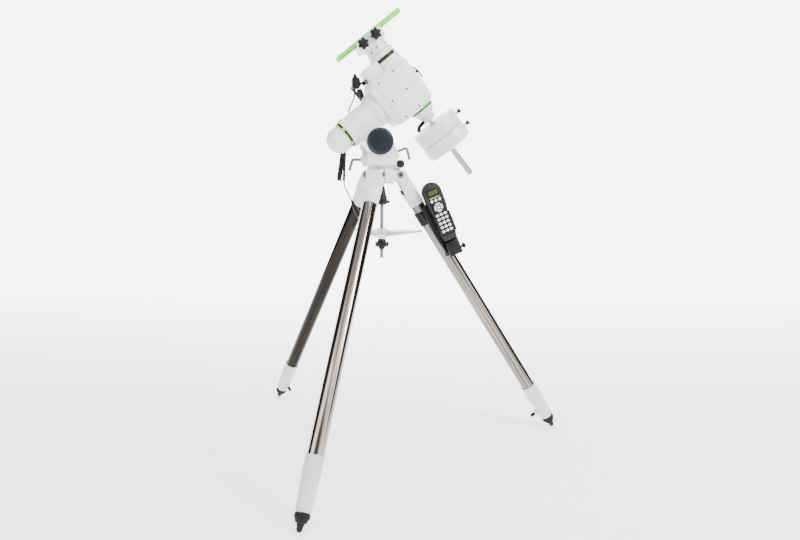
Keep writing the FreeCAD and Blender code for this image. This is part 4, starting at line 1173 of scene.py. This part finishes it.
def make_saddle():
    casting("saddle_casting", "saddle", HEAD, "dec_axis", 1.1, 4)
    foot = span("saddle", HEAD)[0].z
    radius = 37
    screws = []
    for index in range(4):
        angle = math.pi / 4 + index * math.pi / 2
        place = (radius * math.cos(angle), radius * math.sin(angle), foot + 13)
        screws.append(moved(socket_screw(2.6, 1.3), facing(place, (math.cos(angle), math.sin(angle), 0))))
    screws.append(moved(socket_screw(2.4, 1.2), facing((-6, -radius + 0.4, foot + 17), (0, -1, 0))))
    built("saddle_screws", gathered(*screws), HEAD, "dec_axis", "black_plastic")
    seam = ring(radius + 0.7, radius - 3, foot + 0.3, foot + 3.2, 0.8, 96)
    built("saddle_foot_ring", seam, HEAD, "dec_axis", "white_paint")
    for end in ("rear", "front"):
        name = f"saddle_knob_{end}"
        knob_low, knob_high = span(name, HEAD)
        middle = (knob_low + knob_high) / 2
        radius = (knob_high.x - knob_low.x) / 2
        star = prism(star_outline(radius, 6, 0.3), 2.2, 14.6, 2.6, 3)
        hub = turned([(6.4, -4), (7.6, 0), (7.8, 13), (7, 15.5), (4.6, 15.5), (4.2, 14.9)], 0.8, 40)
        place = facing((middle.x, knob_low.y + 15.5, middle.z), (0, -1, 0))
        built(f"{name}_star", moved(gathered(star, hub), place), HEAD, name, "black_plastic", nodes=[name])
        shank = moved(screw_thread(knob_high.y - knob_low.y - 15.6, 3), place)
        built(f"{name}_thread", shank, HEAD, name, "steel")
    make_dovetail()


def make_dovetail():
    """Green bar with slots and screw holes, and dark lines along its edges that paint the shade of its faces
    seen edge-on.
    """
    low, high = span("dovetail_bar", HEAD)
    wide = high.y
    narrow = wide - 5.5
    profile = [(-wide, low.z), (wide, low.z), (wide, low.z + 3), (narrow, high.z), (-narrow, high.z),
               (-wide, low.z + 3)]
    across = Matrix(((0, 0, 1, 0), (1, 0, 0, 0), (0, 1, 0, 0), (0, 0, 0, 1)))
    bar = moved(prism(profile, low.x, high.x, 0.9, 2), across)
    tools = []
    for x in (low.x + 14, high.x - 14):
        tools.append(moved(cylinder(3.2, low.z - 2, high.z + 2, 0, 28), Matrix.Translation((x, 0, 0))))
        sink = turned([(3.2, high.z - 2.4), (5.2, high.z + 0.4)], 0, 28)
        tools.append(moved(sink, Matrix.Translation((x, 0, 0))))
    for start, end in ((low.x + 34, low.x + 78), (high.x - 78, high.x - 34)):
        outline = arc_points((start, 0), 3.3, 90, 270, 10) + arc_points((end, 0), 3.3, -90, 90, 10)
        tools.append(prism(outline, low.z - 2, high.z + 2, 0))
    bar = without(bar, *tools)
    built("green_dovetail", bar, HEAD, "dovetail_bar", "green_anodised", nodes=["dovetail_bar"])
    # Dark green strips along the bar's edges: painted shade
    lines = []
    for side in (-1, 1):
        for level, reach in ((high.z - 1.5, narrow + 0.7), (low.z + 2.6, wide - 0.15)):
            start = (low.x + 1, side * reach - 0.25, level - 0.6)
            lines.append(brick(start, (high.x - 1, side * reach + 0.25, level + 0.6), 0))
    built("dovetail_painted_shade_lines", gathered(*lines), HEAD, "dovetail_bar", "dark_green_print_and_painted_shade")


# ---- counterweights


def make_nose_and_shaft():
    low, high = span("nose", HEAD)
    top = high.z
    profile = [(SHAFT_BORE_R, low.z), (23.4, low.z), (24.2, low.z + 2.6), (36.6, top - 7), (37.4, top - 5.3),
               (SHAFT_BORE_R, top - 5.3)]
    built("nose_cone", lathe(profile, 1.2, 96, closed=True), HEAD, "dec_axis", "white_paint", nodes=["nose"])
    collar = lathe([(SHAFT_BORE_R, -131), (19.4, -131), (21, -128.6), (21, -119.8), (20, -117.6),
                    (SHAFT_BORE_R, -117.6)], 0.8, 64, closed=True)
    grips = []
    for index in range(20):
        turn = around_z(index, 20)
        grips.append(moved(brick((20.2, -1.3, -129), (21.9, 1.3, -119.6), 0.5), turn))
    arm = taper_between((-20, 0, -124), (-43, 0, -127), 6.4, 5.2, 1.0)
    bent = taper_between((-40, 0, -125), (-53.4, 0, -138.4), 5.6, 6.4, 2.6)
    built("lock_ring", gathered(collar, *grips), HEAD, "shaft_lock", "white_paint",
          ["shaft_lock"])
    built("lock_lever", gathered(arm, bent), HEAD, "shaft_lock", "black_plastic")
    rod_low, rod_high = span("weight_shaft", HEAD)
    rod = cylinder(9, rod_low.z, rod_high.z, 1.4, 56)
    built("chrome_shaft", rod, HEAD, "dec_axis", "chrome", nodes=["weight_shaft"])


def make_weights():
    for number in (1, 2):
        weight = f"weight_{number}"
        low, high = span(weight, HEAD)
        radius = high.y
        middle = (low.z + high.z) / 2
        half = [(SHAFT_BORE_R, low.z), (24, low.z), (26, low.z + 1.6), (radius - 20, low.z + 1.6),
                (radius - 17, low.z), (radius, low.z)]
        profile = half + [(r, low.z + high.z - z) for r, z in reversed(half)]
        disc = lathe(profile, 6, 128, closed=True)
        bore = moved(cylinder(4.2, 30, radius + 5, 0, 28), facing((0, 0, middle), (1, 0, 0)))
        built(f"{weight}_disc", without(disc, bore), HEAD, weight, "weight_paint", [weight])
        name = f"weight_screw_{number}"
        screw_low, screw_high = span(name, HEAD)
        seat = screw_high.x - 9.8
        place = facing((seat, 0, middle), (1, 0, 0), math.pi / 2)
        head = wing(screw_high.y - screw_low.y, 9.8, 8.0)
        built(f"{name}_wing", moved(head, place), HEAD, name, "black_plastic", nodes=[name])
        built(f"{name}_thread", moved(screw_thread(seat - screw_low.x, 2), place), HEAD, name, "steel")

# ---- handset and holder

CROWN_HEIGHT = 31
# Places of the keys down and across the handset, from its top and its middle
ROUND_KEYS_Z = -58.5
PAD_Z = -82
NUMBERS_Z = -106
ROW_PITCH = 13.5
COLUMN_PITCH = 13.6


def handset_frame():
    """x across the handset, z up along it, y out of its back."""
    points = [vertex.co for vertex in frame["nodes"]["handset"].data.vertices]
    across = Vector((0, 1, 0)).cross(LIFT)
    top = max(point.dot(LIFT) for point in points)
    left = min(point.dot(across) for point in points)
    right = max(point.dot(across) for point in points)
    origin = LIFT * top + across * ((left + right) / 2)
    return axes_frame(origin, across, Vector((0, 1, 0)), LIFT)


def make_handset():
    """Slim case with a rounded top, a dark face plate and a plain grip below the keys."""
    place = handset_frame()
    low, high = span("handset", place)
    half = high.x
    length = -low.z
    front = low.y
    back = high.y
    turns = [math.pi * step / 16 for step in range(17)]
    outline = [(half * math.cos(a), min(CROWN_HEIGHT * (math.sin(a) - 1), 0)) for a in turns]
    side = [(half, -78), (half - 5, -106), (half - 5, -length + 22), (half - 10, -length + 1.5)]
    outline += [(-x, z) for x, z in side] + list(reversed(side))
    outline = soften_flat(outline, 6)
    shell = moved(prism(list(reversed(outline)), front + 5, back, 3.4, 4), UPRIGHT_MIRRORED)
    face = [(x * 0.93, z * 0.975 - 2.5) for x, z in outline]
    cover = moved(prism(list(reversed(face)), front + 0.8, front + 7, 1.8, 3), UPRIGHT_MIRRORED)
    room = brick((-21.6, front - 1, -174), (21.6, front + 4.4, -51.4), 2)
    window = brick((-20.6, front - 1, -44.6), (20.6, front + 2.6, -21.4), 1)
    built("handset_back", shell, place, "handset", "handset_dark", ["handset"])
    built("handset_face", without(cover, room, window), place, "handset", "handset_grey")
    make_display(place, front)
    make_keys(place, front)
    socket = brick((-8, front + 9, -length - 0.4), (8, back - 6, -length + 6), 1.2)
    built("handset_socket", socket, place, "handset", "black_plastic")


def make_display(place, front):
    """Green display behind its bezel, over a pale strip."""
    low, high = span("handset_screen", place)
    glass = brick((low.x + 0.4, low.y, low.z + 0.4), (high.x - 0.4, high.y, high.z - 0.4), 0.5)
    built("handset_window", glass, place, "handset", "lcd_green", nodes=["handset_screen"])
    inner = brick((low.x + 4.6, front - 1, low.z + 4.4), (high.x - 4.6, front + 3, high.z - 4.4), 0.8)
    outer = brick((low.x - 0.8, front + 0.2, low.z - 1), (high.x + 0.8, front + 1.5, high.z + 1), 0.6)
    built("handset_bezel", without(outer, inner), place, "handset", "handset_dark")
    label = brick((-17, front + 0.45, low.z - 6.6), (17, front + 0.9, low.z - 3.4), 0.2)
    built("handset_strip", label, place, "handset", "lcd_pale")


def make_keys(place, front):
    """Three round keys, a split four-way pad and five rows of three number keys."""
    body = "keys"
    mat = brick((-20.8, front + 2.4, -173), (20.8, front + 3.6, -52), 0.8)
    built("key_mat", mat, place, body, "handset_dark", ["handset_keys"])
    keys = []
    out = (0, -1, 0)
    for x in (-13.5, 0, 13.5):
        cap = lathe([(0, 0), (4.9, 0), (4.8, 3.0), (3.6, 3.9), (0, 4.1)], 0.6, 32)
        keys.append(moved(cap, facing((x, front + 3, ROUND_KEYS_Z), out)))
    for index in range(4):
        start = 45 + 90 * index
        outer = arc_points((0, 0), 14.4, start + 7, start + 83, 9)
        inner = arc_points((0, 0), 7.2, start + 76, start + 14, 6)
        keys.append(moved(prism(outer + inner, 0, 3.8, 0.9, 3), facing((0, front + 3, PAD_Z), out)))
    middle = lathe([(0, 0), (4.9, 0), (4.8, 3.2), (4.0, 3.9), (0, 4.2)], 0.6, 32)
    keys.append(moved(middle, facing((0, front + 3, PAD_Z), out)))
    for row in range(5):
        for x in (-COLUMN_PITCH, 0, COLUMN_PITCH):
            z = NUMBERS_Z - ROW_PITCH * row
            outline = soften_flat([(-5.0, -4.0), (5.0, -4.0), (5.0, 4.0), (-5.0, 4.0)], 3)
            keys.append(moved(prism(outline, 0, 3.8, 0.9, 3), facing((x, front + 3, z), out)))
    built("white_keys", gathered(*keys), place, body, "key_white")
    make_key_marks(place, front - 0.85)


def make_key_marks(place, level):
    """Arrows on the pad and the numbers 1 to 9 and 0 on the keys."""
    arrows = []
    for index in range(4):
        tip = [(8.2, -1.9), (11.4, 0), (8.2, 1.9)]
        turn = around_z(index, 4)
        arrows.append(moved(prism(tip, 0, 0.25, 0), facing((0, level, PAD_Z), (0, -1, 0)) @ turn))
    built("pad_arrows", gathered(*arrows), place, "keys", "key_ink")
    digits = []
    for number in range(10):
        row = (number + 2) // 3 if number else 4
        column = (number - 1) % 3 if number else 1
        place_of = (COLUMN_PITCH * (column - 1), level, NUMBERS_Z - ROW_PITCH * row)
        digits.append(digit_mesh(str(number), place_of, 6.0))
    built("key_numbers", gathered(*digits), place, "keys", "key_ink")


def digit_mesh(text, place, size):
    """A printed number, facing out of the handset."""
    data = bpy.data.curves.new("digit", "FONT")
    data.body = text
    data.size = size
    data.align_x = "CENTER"
    data.align_y = "CENTER"
    data.extrude = 0.12
    data.resolution_u = 3
    thing = bpy.data.objects.new("digit", data)
    mesh = bpy.data.meshes.new_from_object(thing)
    bpy.data.objects.remove(thing)
    bpy.data.curves.remove(data)
    bm = bmesh.new()
    bm.from_mesh(mesh)
    bpy.data.meshes.remove(mesh)
    return moved(bm, Matrix.Translation(place) @ UPRIGHT)


def make_holder():
    """Cradle behind and beside the handset, its band round the tube, and the stem of its clamp screw."""
    leg = LEGS[1]
    place = handset_frame()
    low = span("holder", place)[0]
    hand_low, hand_high = span("handset", place)
    half = hand_high.x
    back = brick((-half + 2, hand_high.y + 0.6, low.z + 2), (half - 2, hand_high.y + 4.6, -92), 1.4)
    shelf = brick((-half + 9, hand_low.y, low.z), (half - 9, hand_high.y + 4, hand_low.z - 1.2), 2)
    ears = []
    for side in (-1, 1):
        inner, outer = sorted((side * (half - 4.0), side * (half + 1.0)))
        ears.append(brick((inner, hand_low.y + 9, -172), (outer, hand_high.y + 4, -106), 1.6))
    cheek_outline = soften_flat([(-half - 0.8, -60), (-half - 15, -72), (-half - 15, -128), (-half - 6, -188),
                                 (-half + 8, low.z + 2), (-half + 8, low.z + 6), (-half - 0.8, -176)], 3)
    cheek = moved(prism(list(reversed(cheek_outline)), hand_high.y - 12, hand_high.y + 4.4, 1.4),
                  UPRIGHT_MIRRORED)
    built("holder_cradle", gathered(back, shelf, cheek, *ears), place, "leg_1", "black_plastic",
          nodes=["holder"])
    knob_low, knob_high = span("holder_knob", leg)
    radius = span("leg_tube_1", leg)[1].x
    points = [leg.inverted() @ vertex.co for vertex in frame["nodes"]["holder"].data.vertices]
    top = max(point.z for point in points if point.x < -radius - 1)
    band = ring(radius + 3.6, radius + 0.02, top - 46, top, 1.0, 72)
    arm = brick((-14, -31, top - 44), (36, -radius - 1, top - 4), 2)
    middle = (knob_low + knob_high) / 2
    stem = rod_between((22, -29, middle.z + 6), (knob_high.x - 12, middle.y, middle.z), 3.4)
    foot = brick((14, -34, middle.z - 3), (28, -26, middle.z + 22), 2.4)
    built("holder_band", gathered(band, arm, stem, foot), leg, "leg_1", "black_plastic")
    knob_place = facing((knob_high.x, middle.y, middle.z), (1, 0, 0))
    knob = lathe([(0, -12), (4, -12), (8.6, -9), (9.4, -5), (7, -1), (0, 0)], 2.2, 40)
    thread_run = thread(2.9, 1.0, 0.35, -(knob_high.x - knob_low.x), -11, 16)
    knob = moved(gathered(knob, thread_run), knob_place)
    built("holder_oval_knob", knob, leg, "holder_knob", "black_plastic", nodes=["holder_knob"])


# ---- plugs on the cables


def make_plugs():
    """Upright motor plug in its bracket, the two glands, and the 12 V plug on the power cord."""
    into_head = HEAD.inverted() @ WORLD
    body = brick((-95.5, -11.5, 1124.5), (-73, 9, 1157), 2.2, 3)
    spike = soften_flat([(-92, 1152), (-90, 1168), (-86, 1168), (-70, 1149), (-70, 1138), (-76, 1146)], 1)
    spike = prism(spike, -5, 6, 1.0)
    band = brick((-88, -12.1, 1128), (-81, -11, 1154), 0.5)
    stub = moved(gathered(cylinder(5.6, 0, 8, 0.5, 32), ring(7, 5, 1, 3, 0.4, 32), ring(7, 5, 5, 7, 0.4, 32)),
                 facing((-74.5, 0, 1141), (0.93, 0, -0.36)))
    block = moved(gathered(body, moved(spike, UPRIGHT), band, stub), into_head)
    post = brick((-136, 13, 44), (-128, 19, 100), 1.2)
    arm = brick((-134, 5, 88), (-118, 19, 98), 1.2)
    boot = taper_between((-122, -1, 94), (-131.6, -3, 87.4), 6, 3, 0.8)
    lead = Vector(MOTOR_ROUTE[-1]) - Vector((-188, 38, 20))
    nut = prism(hexagon(7), -4, 6, 0.6)
    sleeve = turned([(5.6, 0), (5.2, 9), (3.2, lead.length - 0.5)], 0.8, 32)
    gland = moved(gathered(nut, sleeve), facing((-188, 38, 20), lead))
    built("motor_plug_body", gathered(block, post, arm, boot, gland), HEAD, "altitude", "black_plastic",
          nodes=["motor_plug"])
    start = Vector(POWER_TAIL[-1])
    run = start - Vector(POWER_TAIL[-2])
    plug = turned([(2.8, 0), (4.4, 6), (5.4, 20), (7.6, 25), (8.0, 50), (6.6, 60)], 1.2, 40)
    tip = turned([(5.6, 58), (5.6, 69), (3.2, 72), (2.6, 79)], 0.6, 36)
    spring = brick((-9.4, -1.6, 62), (9.4, 1.6, 69), 1.2)
    place = facing(start, run)
    outlet = moved(gathered(prism(hexagon(7), -1, 5, 0.6), cylinder(4.4, 4, 12, 0.8, 32)),
                   facing((-30, 62, 916), (0, 1, 0)))
    built("power_plug_body", gathered(moved(plug, place), outlet), WORLD, "azimuth", "black_plastic",
          nodes=["power_fittings"])
    built("power_plug_contacts", moved(gathered(tip, spring), place), WORLD, "azimuth", "steel")


make_camera()
dress_cad_nodes()
make_plugs()
make_cords()
make_light()
make_floor()
make_hub()
make_hinge_bolts()
for leg_number in LEGS:
    make_leg(leg_number)
make_rod_and_spreader()
make_base()
make_lat_bolts()
make_polar_axis()
make_dec_housing()
make_saddle()
make_nose_and_shaft()
make_weights()
make_handset()
make_holder()
